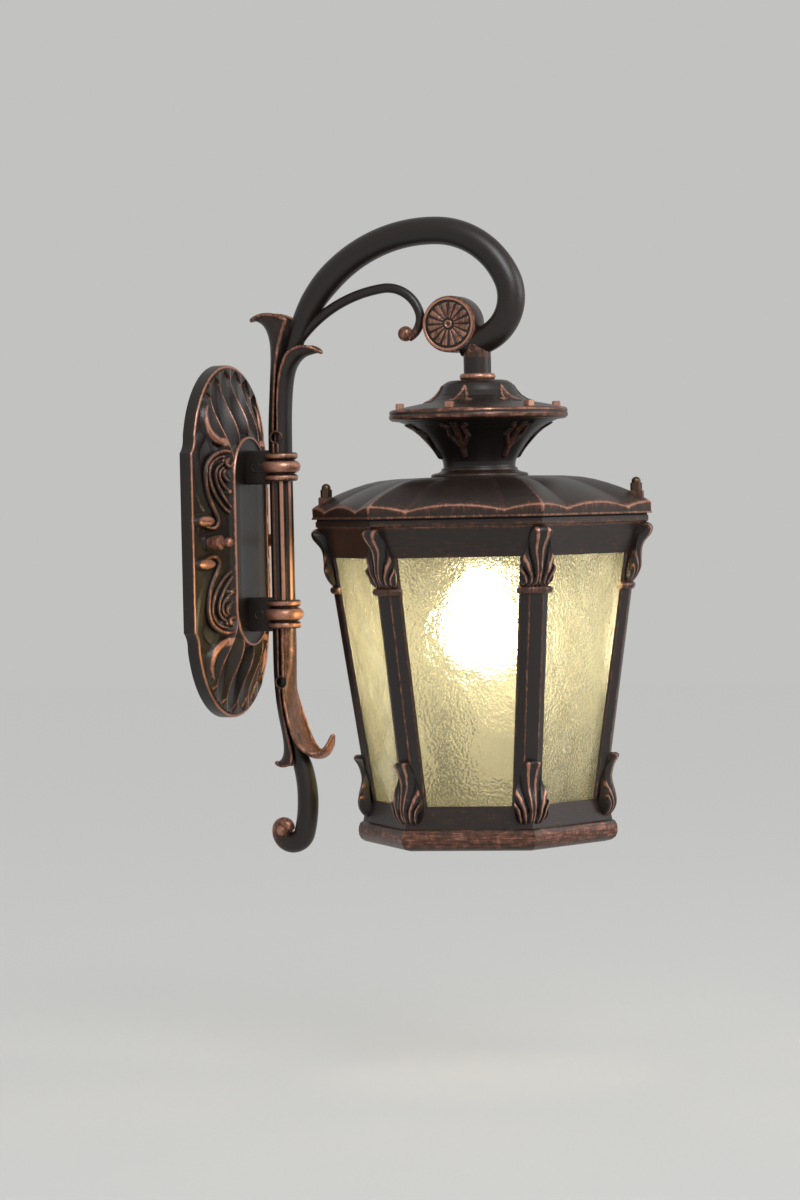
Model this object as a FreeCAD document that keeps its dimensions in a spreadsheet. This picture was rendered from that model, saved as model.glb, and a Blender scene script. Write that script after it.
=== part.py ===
import FreeCAD, Part

import math
import operator
import os

import Sketcher

# An outdoor wall light. Millimetres. The wall is the plane y = 0 and the light stands out towards -y.
# The origin is the middle of the wall plate, on the wall, with +z up and +x to the right of someone facing it.

SIZES = {
    # wall plate
    "plate_height": 280.0,
    "plate_width": 154.0,
    "plate_rim": 10.0,
    "plate_wall": 3.0,
    "plate_lip": 3.0,
    "lip_height": 1.5,
    "shoulder_height": 140.0,
    "shoulder_step": 7.0,
    "shoulder_rise": 14.0,
    "boss_height": 166.0,
    "boss_width": 64.0,
    "boss_depth": 27.0,
    "boss_foot_depth": 22.0,
    "boss_foot": 1.5,
    "boss_edge": 2.0,
    "cove_depth": 11.8,
    "rib_width": 3.2,
    "rib_height": 3.6,
    "scroll_width": 3.4,
    "scroll_height": 4.2,
    # fixing to the wall
    "strap_length": 134.0,
    "strap_width": 24.0,
    "strap_thick": 2.0,
    "wall_hole_spacing": 70.0,
    "wall_hole": 5.5,
    "knob_spacing": 112.0,
    "stud_dia": 5.0,
    "stud_length": 22.0,
    "knob_length": 21.0,
    "knob_flange": 11.2,
    "knob_seat_dia": 12.0,
    "knob_seat_depth": 13.5,
    "block_length": 34.0,
    "block_width": 14.0,
    "block_height": 13.0,
    # arm post
    "post_offset": 53.0,
    "post_dia": 18.6,
    "collar_spacing": 116.5,
    "collar_dia": 27.4,
    "collar_height": 23.0,
    "lug_width": 14.0,
    "lug_height": 27.0,
    "bolt_dia": 6.0,
    "bolt_reach": 12.0,
    "bolt_head": 10.0,
    "bolt_head_height": 4.0,
    "sheath_thick": 1.8,
    "sheath_hole": 9.5,
    "scroll_dia": 17.0,
    # arch
    "arch_start": 76.7,
    "arch_dia": 21.7,
    "arch_foot_dia": 9.0,
    "arch_rise_radius": 224.0,
    "arch_rise_turn": 24.1,
    "arch_crown_radius": 120.0,
    "arch_crown_turn": 69.6,
    "arch_nose_radius": 66.3,
    "arch_nose_turn": 61.8,
    "arch_hook_radius": 35.0,
    "arch_hook_turn": 122.0,
    "branch_dia": 7.4,
    "branch_ball": 12.0,
    "drum_dia": 44.0,
    "drum_length": 22.0,
    "drum_back": 8.4,
    "drum_up": 14.5,
    "rosette_thick": 2.0,
    "rosette_petals": 16.0,
    "hang_offset": 19.0,
    "socket_drop": 11.8,
    # crown
    "pipe_dia": 21.4,
    "pipe_length": 12.3,
    "rod_dia": 10.0,
    "rod_bore": 6.0,
    "rod_depth": 12.0,
    "ring_dia": 28.0,
    "ring_height": 5.4,
    "cap_height": 31.0,
    "dish_dia": 139.6,
    "dish_edge": 8.4,
    "dome_dia": 46.6,
    "dome_foot_dia": 82.0,
    "tab_size": 5.0,
    "shell": 3.0,
    "vase_height": 43.5,
    "vase_mouth_dia": 124.0,
    "vase_neck_dia": 55.8,
    "vase_foot_dia": 75.4,
    "vase_foot_height": 4.6,
    # roof
    "lantern_turn": 10.3,
    "eave_overhang": 3.0,
    "fascia_height": 9.0,
    "scallop_dip": 4.0,
    "roof_rise": 22.0,
    "roof_flat_radius": 40.0,
    "seat_size": 11.0,
    "nut_inset": 12.0,
    "nut_seat_height": 17.5,
    "nut_flats": 8.0,
    "nut_height": 10.5,
    "gasket_thick": 1.5,
    "gasket_width": 13.989,
    # cage and glass
    "cage_height": 251.7,
    "frieze_overhang": 6.1,
    "band_height": 5.0,
    "frieze_height": 28.5,
    "post_radius": 124.9,
    "cage_taper": 0.148,
    "post_front": 11.0,
    "post_width": 23.0,
    "base_radius": 102.2,
    "base_height": 17.5,
    "skirt_height": 17.5,
    "base_opening": 70.0,
    "glass_thick": 3.0,
    "glass_gap": 0.2,
    "capital_height": 56.0,
    "foot_height": 48.0,
    # lamp
    "holder_dia": 39.0,
    "holder_length": 48.0,
    "holder_wall": 2.4,
    "bulb_dia": 60.0,
    "bulb_length": 106.0,
    "bulb_cap_dia": 26.0,
}

SHEET = "dims"
OPERATIONS = {"+": operator.add, "-": operator.sub, "*": operator.mul, "/": operator.truediv}
OUT = 1.0
FACES = 6


class Size:
    """A length with its number and the expression on the sheet that it is bound with."""

    def __init__(self, number, words):
        self.number = float(number)
        self.words = words

    def joined(self, other, sign, turned=False):
        first, second = (size(other), self) if turned else (self, size(other))
        number = OPERATIONS[sign](first.number, second.number)
        return Size(number, "(%s %s %s)" % (first.words, sign, second.words))

    def __add__(self, other):
        return self.joined(other, "+")

    def __radd__(self, other):
        return self.joined(other, "+", True)

    def __sub__(self, other):
        return self.joined(other, "-")

    def __rsub__(self, other):
        return self.joined(other, "-", True)

    def __mul__(self, other):
        return self.joined(other, "*")

    def __rmul__(self, other):
        return self.joined(other, "*", True)

    def __truediv__(self, other):
        return self.joined(other, "/")

    def __neg__(self):
        return 0 - self

    def __float__(self):
        return self.number


def size(value):
    """A plain number, or an alias of the sheet, as a Size."""
    if isinstance(value, Size):
        return value
    if isinstance(value, str):
        return Size(SIZES[value], "%s.%s" % (SHEET, value))
    return Size(value, repr(float(value)))


def number(name):
    return float(sheet.get(name))


doc = FreeCAD.newDocument("wall_light")
sheet = doc.addObject("Spreadsheet::Sheet", SHEET)
for row, (name, value) in enumerate(SIZES.items(), 1):
    sheet.set("A%d" % row, name)
    sheet.set("B%d" % row, str(value))
    sheet.setAlias("B%d" % row, name)
doc.recompute()

vec = FreeCAD.Vector
pieces = []


def piece(obj, label):
    """Marks an object as a sub-part, under the label that names its file."""
    obj.Label = label
    pieces.append(obj)
    return obj


def bind(obj, prop, value):
    """Sets a property and ties it to the sheet."""
    value = size(value)
    if SHEET in value.words:
        obj.setExpression(prop, value.words)
    else:
        setattr(obj, prop, value.number)


def shaped(label, shape):
    """A sub-part whose form is made directly from the sheet's sizes."""
    obj = doc.addObject("Part::Feature", label)
    obj.Shape = shape
    return piece(obj, label)


def arc_centre(start, end, radius):
    """Centre of the arc from start to end, on the left of the way for a positive radius."""
    half = (end - start) * 0.5
    left = vec(-half.y, half.x, 0).normalize()
    height = math.sqrt(max(radius * radius - half.Length ** 2, 0.0))
    return start + half + left * math.copysign(height, radius)


def outline(body, plane, points, lift=0.0):
    """Closed outline on a plane of the body, lifted off it. A third value is the radius of the arc to a point."""
    sketch = body.newObject("Sketcher::SketchObject", body.Name + "_outline")
    support = [f for f in body.Origin.OriginFeatures if f.Role == plane][0]
    sketch.AttachmentSupport = [(support, "")]
    sketch.MapMode = "FlatFace"
    lift = size(lift)
    sketch.AttachmentOffset = FreeCAD.Placement(vec(0, 0, lift.number), FreeCAD.Rotation())
    if SHEET in lift.words:
        sketch.setExpression("AttachmentOffset.Base.z", lift.words)
    spots = [(size(p[0]), size(p[1])) for p in points]
    flat = [vec(u.number, v.number, 0) for u, v in spots]
    ends = []
    constraints = []
    bound = []
    for i, point in enumerate(points):
        start, end = flat[i - 1], flat[i]
        if len(point) == 2:
            sketch.addGeometry(Part.LineSegment(start, end), False)
            ends.append((1, 2))
        else:
            radius = size(point[2])
            centre = arc_centre(start, end, radius.number)
            way = radius.number > 0
            first, last = (start, end) if way else (end, start)
            begin = math.atan2(first.y - centre.y, first.x - centre.x)
            finish = math.atan2(last.y - centre.y, last.x - centre.x)
            circle = Part.Circle(centre, vec(0, 0, 1), abs(radius.number))
            sketch.addGeometry(Part.ArcOfCircle(circle, begin, finish), False)
            ends.append((1, 2) if way else (2, 1))
            if (end - start).Length < 1.999 * abs(radius.number):
                bound.append((len(constraints), radius if way else -radius))
                constraints.append(Sketcher.Constraint("Radius", i, abs(radius.number)))
            else:
                upright = abs(end.y - start.y) > abs(end.x - start.x)
                kind, axis = ("DistanceX", 0) if upright else ("DistanceY", 1)
                middle = (spots[i - 1][axis] + spots[i][axis]) / 2
                bound.append((len(constraints), middle))
                constraints.append(Sketcher.Constraint(kind, -1, 1, i, 3, middle.number))
    for i in range(len(points)):
        following = (i + 1) % len(points)
        constraints.append(Sketcher.Constraint("Coincident", i, ends[i][1], following, ends[following][0]))
        for kind, value in zip(("DistanceX", "DistanceY"), spots[i]):
            bound.append((len(constraints), value))
            constraints.append(Sketcher.Constraint(kind, -1, 1, i, ends[i][1], value.number))
    sketch.addConstraint(constraints)
    for index, value in bound:
        if SHEET in value.words:
            sketch.setExpression("Constraints[%d]" % index, value.words)
    return sketch


def new_body(label):
    return doc.addObject("PartDesign::Body", label)


def turned(label, profile):
    """A body turned about z from a profile of (radius, height) points."""
    body = new_body(label)
    spin = body.newObject("PartDesign::Revolution", label + "_turn")
    spin.Profile = outline(body, "XZ_Plane", profile)
    spin.ReferenceAxis = (spin.Profile[0], ["V_Axis"])
    spin.Angle = 360.0
    return body


def padded(body, plane, points, length, lift=0.0):
    pad = body.newObject("PartDesign::Pad", body.Name + "_pad")
    pad.Profile = outline(body, plane, points, lift)
    bind(pad, "Length", length)
    return pad


def pocketed(body, plane, points, depth, lift=0.0, outwards=False):
    cut = body.newObject("PartDesign::Pocket", body.Name + "_cut")
    cut.Profile = outline(body, plane, points, lift)
    cut.Reversed = outwards
    bind(cut, "Length", depth)
    return cut


def rectangle(half_across, half_up, across=0.0, up=0.0):
    across, up = size(across), size(up)
    return [
        (across + half_across, up - half_up),
        (across + half_across, up + half_up),
        (across - half_across, up + half_up),
        (across - half_across, up - half_up),
    ]


def disc(radius, across=0.0, up=0.0):
    """A circle as two half arcs."""
    radius, across = size(radius), size(across)
    return [(across + radius, up, radius), (across - radius, up, radius)]


def bulge(chord, height):
    """Radius of the arc with this chord and height."""
    return (chord * chord / 4 + height * height) / (height * 2)


def lofted(sections):
    """A closed solid through polygons with as many corners each."""
    wires = [Part.makePolygon(list(points) + [points[0]]) for points in sections]
    return Part.makeLoft(wires, True, True)


def hexagon(radius, height, turn=0.0):
    """Corners of a hexagon about z, one of them pointing away from the wall."""
    corners = []
    for k in range(FACES):
        angle = math.radians(360.0 / FACES * k + turn)
        corners.append(vec(radius * math.sin(angle), -radius * math.cos(angle), height))
    return corners


def hex_shell(outer, inner):
    """A hexagonal ring between an outer and an inner list of (corner radius, height), both from top to bottom."""
    body = lofted([hexagon(r, z) for r, z in outer])
    return body.cut(lofted([hexagon(r, z) for r, z in inner]))


# Wall plate: a shield with shouldered sides, a sloped field and a raised middle boss, hollow behind

def shield(half, top, shoulder, step, rise):
    """Outline with straight sides, a small hollow shoulder and a round end above and below."""
    side = half - step
    spring = shoulder + rise
    arch = top - spring
    round_end = (side * side + arch * arch) / (arch * 2)
    hollow = rise * 1.4
    return [
        (half, -shoulder),
        (half, shoulder),
        (side, spring, -hollow),
        (-side, spring, round_end),
        (-half, shoulder, -hollow),
        (-half, -shoulder),
        (-side, -spring, -hollow),
        (side, -spring, round_end),
    ][1:] + [(half, -shoulder, -hollow)]


def plate_outline(inset):
    return shield(
        size("plate_width") / 2 - inset,
        size("plate_height") / 2 - inset,
        size("shoulder_height") / 2,
        size("shoulder_step"),
        size("shoulder_rise"),
    )


BOSS_SHOULDER = 0.5
BOSS_RISE = 0.18
BOSS_STEP = 0.06


def boss_outline(inset):
    half = size("boss_width") / 2 - inset
    top = size("boss_height") / 2 - inset
    return shield(half, top, top * BOSS_SHOULDER, half * BOSS_STEP, top * BOSS_RISE)


def cove_outline(inset):
    """Outline half-way between the plate's lip and the boss, where the field's hollow slope steepens."""
    half = (size("plate_width") + "boss_width") / 4 - inset
    top = (size("plate_height") + "boss_height") / 4 - inset
    shoulder = (size("shoulder_height") / 2 + size("boss_height") / 2 * BOSS_SHOULDER) / 2
    return shield(half, top, shoulder, size("shoulder_step") * 0.6, size("shoulder_rise"))


def make_plate_blank():
    body = new_body("plate_blank")
    rim = size("plate_rim")
    field = rim - "lip_height"
    padded(body, "XZ_Plane", plate_outline(0.0), rim)
    pocketed(body, "XZ_Plane", plate_outline(size("plate_lip")), "lip_height", rim)
    slope = body.newObject("PartDesign::AdditiveLoft", "plate_field")
    slope.Profile = outline(body, "XZ_Plane", plate_outline(size("plate_lip")), field - OUT)
    slope.Sections = [
        outline(body, "XZ_Plane", cove_outline(size(0.0)), "cove_depth"),
        outline(body, "XZ_Plane", boss_outline(-size("boss_foot")), "boss_foot_depth"),
    ]
    slope.Ruled = True
    lift = size("boss_foot_depth") - OUT
    padded(body, "XZ_Plane", boss_outline(size(0.0)), size("boss_depth") - lift, lift)
    pocketed(body, "XZ_Plane", boss_outline(size("boss_edge")), "lip_height", "boss_depth")
    for side in (-1, 1):
        seat = disc(size("knob_seat_dia") / 2, size("knob_spacing") / 2 * side)
        padded(body, "XZ_Plane", seat, size("knob_seat_depth") - field, field)
    skin = size("plate_wall")
    low = field - OUT - skin
    pocketed(body, "XZ_Plane", plate_outline(skin), low, 0.0, True)
    hollow = body.newObject("PartDesign::SubtractiveLoft", "plate_hollow")
    hollow.Profile = outline(body, "XZ_Plane", plate_outline(skin), low - 0.1)
    hollow.Sections = [
        outline(body, "XZ_Plane", cove_outline(skin / 2), size("cove_depth") - skin),
        outline(body, "XZ_Plane", boss_outline(skin), size("boss_foot_depth") - skin),
    ]
    hollow.Ruled = True
    inner = size("boss_depth") - "lip_height" - "plate_wall"
    pocketed(body, "XZ_Plane", boss_outline(size("plate_wall")), inner, 0.0, True)
    for side in (-1, 1):
        hole = disc(size("stud_dia") / 2 + "glass_gap", size("knob_spacing") / 2 * side)
        pocketed(body, "XZ_Plane", hole, size("knob_seat_depth") + OUT, 0.0, True)
        hole = disc(size("bolt_dia") / 2 + "glass_gap", 0.0, size("collar_spacing") / 2 * side)
        pocketed(body, "XZ_Plane", hole, size("boss_depth") + OUT, 0.0, True)
    return body


COVE = 1.7


def field_depth(x, z):
    """Distance of the sloped field from the wall at a point of the plate."""
    foot = number("boss_width") / 2 + number("boss_foot")
    tall = number("boss_height") / 2 + number("boss_foot")
    wide = number("plate_width") / 2 - number("plate_lip")
    high = number("plate_height") / 2 - number("plate_lip")
    from_boss = math.hypot(x / foot, z / tall) - 1
    to_rim = 1 - max(abs(x) / wide, math.hypot(x / wide, z / high))
    share = min(max(to_rim / max(to_rim + from_boss * 0.45, 1e-6), 0.0), 1.0)
    low = number("plate_rim") - number("lip_height") - OUT
    return low + (number("boss_foot_depth") - low) * share ** COVE


def ridge(path, half_width, height):
    """A faceted ridge along points of the plate, thickest in its middle, with its foot sunk in the field."""
    sections = []
    for i, (x, z) in enumerate(path):
        before = path[max(i - 1, 0)]
        after = path[min(i + 1, len(path) - 1)]
        along = vec(after[0] - before[0], 0, after[1] - before[1]).normalize()
        across = vec(along.z, 0, -along.x)
        swell = 0.45 + 0.55 * math.sin(math.pi * (0.12 + 0.76 * i / (len(path) - 1)))
        foot = vec(x, -field_depth(x, z) + number("plate_wall") / 2, z)
        wide = across * half_width * swell
        lift = vec(0, -1, 0) * (height * swell + number("plate_wall") / 2)
        sections.append([foot - wide, foot + wide, foot + wide * 0.5 + lift * 0.8, foot + lift,
                         foot - wide * 0.5 + lift * 0.8])
    return lofted(sections)


def tangent_arcs(start, heading, arcs, steps):
    """Points along tangent arcs. The heading is degrees clockwise from up, and so is each turn."""
    points = [start]
    x, z = start
    for radius, turn in arcs:
        sign = math.copysign(1.0, turn)
        side = radius * sign
        a = math.radians(heading)
        cx, cz = x + side * math.cos(a), z - side * math.sin(a)
        for k in range(1, steps + 1):
            b = math.radians(heading + turn * k / steps)
            points.append((cx - side * math.cos(b), cz + side * math.sin(b)))
        heading += turn
        x, z = points[-1]
    return points


FAN_ANGLES = (0.0, 19.0, 38.0, 57.0)
FAN_STEPS = 5
SCROLL_ARCS = ((0.11, 70.0), (0.80, 40.0), (0.16, 165.0), (0.09, 120.0))
SCROLL_STEPS = 4


def fan_rib(angle, up):
    """One S-curved rib of the palmette, from the boss's end to the rim."""
    root = number("boss_height") / 2 - number("boss_foot")
    tip = number("plate_height") / 2 - number("plate_lip") - number("rib_width")
    base = number("boss_height") / 2 - number("boss_width") / 2
    reach = tip - base
    points = []
    for k in range(FAN_STEPS + 1):
        share = k / FAN_STEPS
        swing = math.radians(angle) * (0.55 + 0.45 * share ** 2)
        far = (root - base) + (reach - root + base) * share
        bend = 0.06 * reach * math.sin(2 * math.pi * share) * math.copysign(1.0, angle) * (abs(angle) > 0)
        x = far * math.sin(swing) + bend
        z = base + far * math.cos(swing)
        points.append((x, z * up))
    return points


def scroll_path(side, up):
    """One C-scroll beside the boss, from its bud at mid-height round to its eye."""
    scale = number("plate_width") / 2 * 0.95
    start = (-number("boss_width") / 2 - number("boss_foot") - scale * 0.2, number("plate_height") * 0.06)
    arcs = [(r * scale, turn) for r, turn in SCROLL_ARCS]
    return [(x * -side, z * up) for x, z in tangent_arcs(start, 270.0, arcs, SCROLL_STEPS)]


def make_wall_plate():
    blank = make_plate_blank()
    relief = []
    for up in (-1, 1):
        for angle in FAN_ANGLES:
            for side in (-1, 1) if angle else (1,):
                relief.append(ridge(fan_rib(angle * side, up), number("rib_width"), number("rib_height")))
        for side in (-1, 1):
            relief.append(ridge(scroll_path(side, up), number("scroll_width"), number("scroll_height")))
    carving = doc.addObject("Part::Feature", "plate_carving")
    carving.Shape = relief[0].multiFuse(relief[1:])
    whole = doc.addObject("Part::Fuse", "wall_plate_cast")
    whole.Base = blank
    whole.Tool = carving
    piece(whole, "wall_plate")


# Fixing to the wall: strap, studs, finial nuts, wiring block

def make_mounting_strap():
    body = new_body("strap")
    half = size("strap_width") / 2
    reach = size("strap_length") / 2 - half
    padded(body, "XZ_Plane", [(reach, half, half), (-reach, half), (-reach, -half, half), (reach, -half)], "strap_thick")
    for side in (-1, 1):
        hole = disc(size("wall_hole") / 2, size("wall_hole_spacing") / 2 * side)
        pocketed(body, "XZ_Plane", hole, "strap_thick", 0.0, True)
    piece(body, "mounting_strap")


def make_strap_studs():
    studs = []
    for side in (-1, 1):
        stud = doc.addObject("Part::Cylinder", "strap_stud")
        bind(stud, "Radius", size("stud_dia") / 2)
        bind(stud, "Height", "stud_length")
        stud.Placement = FreeCAD.Placement(
            vec(side * number("knob_spacing") / 2, -number("strap_thick"), 0), FreeCAD.Rotation(vec(1, 0, 0), 90))
        studs.append(stud)
    group = doc.addObject("Part::Compound", "strap_stud_pair")
    group.Links = studs
    piece(group, "strap_studs")


KNOB_NECK = 0.76


def make_plate_knobs():
    """Finial nuts: a cone that widens to a flange, then a neck and a ball."""
    long = size("knob_length")
    flange = size("knob_flange") / 2
    foot = flange * 0.72
    ball = flange * 0.68
    neck = ball * KNOB_NECK
    bore = size("stud_dia") / 2 + "glass_gap"
    deep = size("stud_length") + "strap_thick" - "knob_seat_depth" + OUT
    profile = [
        (bore, 0.0),
        (foot, 0.0),
        (flange, long * 0.45),
        (flange, long * 0.53),
        (neck, long * 0.58),
        (neck, long - ball * (1 + math.sqrt(1 - KNOB_NECK ** 2))),
        (0.0, long, ball),
        (0.0, deep),
        (bore, deep),
    ]
    knobs = []
    for side in (-1, 1):
        knob = turned("plate_knob", profile)
        knob.Placement = FreeCAD.Placement(
            vec(side * number("knob_spacing") / 2, -number("knob_seat_depth"), 0), FreeCAD.Rotation(vec(1, 0, 0), 90))
        knobs.append(knob)
    group = doc.addObject("Part::Compound", "plate_knob_pair")
    group.Links = knobs
    piece(group, "plate_knobs")


def make_terminal_block():
    block = doc.addObject("Part::Box", "block")
    bind(block, "Length", "block_length")
    bind(block, "Width", "block_height")
    bind(block, "Height", "block_width")
    block.Placement.Base = vec(
        -number("block_length") / 2, -number("strap_thick") - number("block_height"), -number("block_width") / 2)
    piece(block, "terminal_block")


def make_arm_bolts():
    bolts = []
    shank = size("plate_wall") + "bolt_reach"
    seat = number("boss_depth") - number("lip_height") - number("plate_wall")
    for side in (-1, 1):
        bolt = turned("arm_bolt", [
            (0.0, 0.0),
            (size("bolt_head") / 2, 0.0),
            (size("bolt_head") / 2, "bolt_head_height"),
            (size("bolt_dia") / 2, "bolt_head_height"),
            (size("bolt_dia") / 2, size("bolt_head_height") + shank),
            (0.0, size("bolt_head_height") + shank),
        ])
        bolt.Placement = FreeCAD.Placement(
            vec(0, -seat + number("bolt_head_height"), side * number("collar_spacing") / 2),
            FreeCAD.Rotation(vec(1, 0, 0), 90))
        bolts.append(bolt)
    group = doc.addObject("Part::Compound", "arm_bolt_pair")
    group.Links = bolts
    piece(group, "arm_bolts")


# Arm: post with collars, lugs, split leaf sheaths and lower scroll

def tube(start, heading, arcs, radius):
    """A round bar along tangent arcs in the plane x = 0, given as (distance from the wall, height)."""
    edges = []
    for arc in arcs:
        a, b, c = tangent_arcs(start, heading, [arc], 2)
        edges.append(Part.Arc(vec(0, -a[0], a[1]), vec(0, -b[0], b[1]), vec(0, -c[0], c[1])).toShape())
        if arc is arcs[0]:
            h = math.radians(heading)
            ring = Part.makeCircle(radius, vec(0, -a[0], a[1]), vec(0, -math.sin(h), math.cos(h)))
        heading += arc[1]
        start = c
    return Part.Wire(edges).makePipeShell([Part.Wire(ring)], True, True), start


def tapered(start, heading, arcs, radii):
    """A round bar along tangent arcs whose radius changes from station to station, two stations to an arc."""
    points = tangent_arcs(start, heading, arcs, 2)
    headings = [heading]
    for _, turn in arcs:
        headings += [headings[-1] + turn / 2, headings[-1] + turn]
    rings = []
    for (d, z), h, radius in zip(points, headings, radii):
        h = math.radians(h)
        rings.append(Part.Wire(Part.makeCircle(radius, vec(0, -d, z), vec(0, -math.sin(h), math.cos(h)))))
    return Part.makeLoft(rings, True, False)


LEAF_STEPS = 3
LEAF_ROUND = (-1.0, -0.6, -0.2, 0.2, 0.6, 1.0)


def sheath_leaf(start, heading, arcs, inside, cupped):
    """A leaf of the sheath: a half-round channel that opens towards the post and narrows to a tip.

    The path runs along its back. inside is 1 where the post is on the right of the path, and -1 on its left.
    """
    thick = number("sheath_thick")
    base = number("post_dia") / 2
    points = tangent_arcs(start, heading, arcs, LEAF_STEPS)
    headings = [heading]
    for _, turn in arcs:
        headings += [headings[-1] + turn * (k + 1) / LEAF_STEPS for k in range(LEAF_STEPS)]
    sections = []
    for k, ((d, z), h) in enumerate(zip(points, headings)):
        share = k / (len(points) - 1)
        late = max(share - 0.6, 0.0) / 0.4
        half = base * (0.97 + 0.22 * math.sin(math.pi * late)) * (1 - 0.66 * late ** 2)
        sag = base * (0.9 * (1 - late) + (-0.35 if cupped else 0.12) * late)
        h = math.radians(h)
        across = vec(0, -math.cos(h), -math.sin(h)) * inside
        back = vec(0, -d, z)
        lean = 2 * math.atan2(sag, half)
        bow = half / math.sin(lean)
        ring = []
        for share in LEAF_ROUND:
            ring.append((bow * math.sin(lean * share), bow - bow * math.cos(lean * share)))
        for share in reversed(LEAF_ROUND):
            ring.append(((bow - thick) * math.sin(lean * share), bow - (bow - thick) * math.cos(lean * share)))
        sections.append([back + vec(x, 0, 0) + across * n for x, n in ring])
    return lofted(sections)


def drilled(whole, radius, depth, start, way):
    """A round hole from a point, cut from the object so far."""
    tool = doc.addObject("Part::Cylinder", "drill")
    bind(tool, "Radius", radius)
    bind(tool, "Height", depth)
    tool.Placement = FreeCAD.Placement(start, FreeCAD.Rotation(vec(0, 0, 1), way))
    cut = doc.addObject("Part::Cut", "drilled")
    cut.Base = whole
    cut.Tool = tool
    return cut


TAIL = 0.75
LOWER_HOLE = 112.0
STUB = 0.88
SCROLL_START = 145.0
SCROLL_PATH = ((63.2, -27.4), (80.3, 42.1), (11.3, 215.0))


def make_arm_post():
    out = number("post_offset")
    base = number("post_dia") / 2
    collar = number("collar_spacing") / 2
    ledge = collar + number("collar_height") / 2 - 4 * OUT
    r = size("post_dia") / 2
    big = size("collar_dia") / 2
    mid = size("collar_spacing") / 2
    tall = size("collar_height") / 2
    torus = tall * 0.44
    bead = big - 1.4
    tail = r * TAIL
    core = turned("post_core", [
        (0.0, -SCROLL_START),
        (tail, -SCROLL_START),
        (tail, -mid - tall),
        (bead, -mid - tall),
        (bead, -mid - torus, torus),
        (big, -mid - torus * 0.8),
        (big, torus * 0.8 - mid, torus),
        (bead, torus - mid),
        (bead, tall - mid, torus),
        (r, tall - mid),
        (r, mid - tall),
        (bead, mid - tall),
        (bead, mid - torus, torus),
        (big, mid - torus * 0.8),
        (big, mid + torus * 0.8, torus),
        (bead, mid + torus),
        (bead, mid + tall, torus),
        (r * STUB, mid + tall),
        (r * STUB, "arch_start"),
        (0.0, "arch_start"),
    ])
    core.Placement.Base = vec(0, -out, 0)
    lugs = []
    face = number("boss_depth") - number("lip_height")
    for side in (-1, 1):
        lug = doc.addObject("Part::Box", "arm_lug")
        bind(lug, "Length", "lug_width")
        bind(lug, "Width", size("post_offset") - size("post_dia") / 4 - "boss_depth" + "lip_height")
        bind(lug, "Height", "lug_height")
        lug.Placement.Base = vec(
            -number("lug_width") / 2, -out + base / 2, side * collar - number("lug_height") / 2)
        lug = drilled(lug, size("bolt_dia") / 2 + "glass_gap", size("bolt_reach") + OUT,
                      vec(0, -face, side * collar), vec(0, -1, 0))
        for x in (-1, 1):
            start = vec(x * (number("lug_width") / 2 - OUT), -face - number("bolt_reach") * 0.8, side * collar)
            lug = drilled(lug, size("sheath_hole") * 0.4, 2 * OUT, start, vec(x, 0, 0))
        lugs.append(lug)
    near, far = out - base, out + base
    leaves = [
        sheath_leaf((near, ledge), 0.0, [(9000.0, -0.55), (27.0, -29.0), (27.0, -29.0)], 1, False),
        sheath_leaf((far, ledge), 0.0, [(4000.0, 0.35), (172.0, 14.4), (17.0, 70.0)], -1, False),
        sheath_leaf((near, -ledge), 180.0, [(4000.0, -0.55), (190.0, -17.0), (11.0, 105.0)], -1, False),
        sheath_leaf((far, -ledge), 180.0, [(4000.0, -0.62), (120.0, -22.0), (13.0, -95.0)], 1, True),
    ]
    holes = []
    for height in (number("arch_start") + number("sheath_hole") / 2, -LOWER_HOLE):
        for x in (-1, 1):
            start = vec(x * base * 0.4, -out, height)
            holes.append(Part.makeCylinder(number("sheath_hole") / 2, base, start, vec(x, 0, 0)))
    leaves = [leaf.cut(Part.makeCompound(holes)) for leaf in leaves]
    scroll, end = tube((out, -SCROLL_START), 180.0, SCROLL_PATH, number("scroll_dia") / 2)
    joint = Part.makeSphere(number("scroll_dia") / 2, vec(0, -out, -SCROLL_START))
    eye = tangent_arcs((out, -SCROLL_START), 180.0, SCROLL_PATH[:2], 1)[-1]
    curl = SCROLL_PATH[2][0]
    turn = math.radians(180.0 + SCROLL_PATH[0][1] + SCROLL_PATH[1][1])
    heart = vec(0, -eye[0] - curl * math.cos(turn), eye[1] - curl * math.sin(turn))
    ball = Part.makeSphere(curl * 0.6, heart)
    cast = doc.addObject("Part::Feature", "post_castings")
    cast.Shape = scroll.multiFuse(leaves + [joint, ball])
    whole = doc.addObject("Part::MultiFuse", "post_whole")
    whole.Shapes = [core, cast] + lugs
    piece(whole, "arm_post")


# Arm: arch with branch scroll and drum

BRANCH_SHARES = ((0.922, 42.6), (0.2375, 76.5), (0.137, 85.0))
BRANCH_HEADING = 41.0
TAPER_SHARE = 0.29


def arch_arcs():
    """The arch's rise with the first of its crown, where it is tapered, and the rest."""
    first = number("arch_crown_turn") * TAPER_SHARE
    rise = [(number("arch_rise_radius"), number("arch_rise_turn")), (number("arch_crown_radius"), first)]
    rest = [
        (number("arch_crown_radius"), number("arch_crown_turn") - first),
        (number("arch_nose_radius"), number("arch_nose_turn")),
        (number("arch_hook_radius"), number("arch_hook_turn")),
    ]
    return rise, rest


rise_arcs, rest_arcs = arch_arcs()
arch_foot = (number("post_offset"), number("arch_start"))
arch_end = tangent_arcs(arch_foot, 0.0, rise_arcs + rest_arcs, 1)[-1]
drum_at = (arch_end[0] - number("drum_back"), arch_end[1] + number("drum_up"))
hang = drum_at[0] + number("hang_offset")
socket_z = arch_end[1] - number("socket_drop")
rod_hole = number("rod_dia") / 2 + number("glass_gap")


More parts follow.
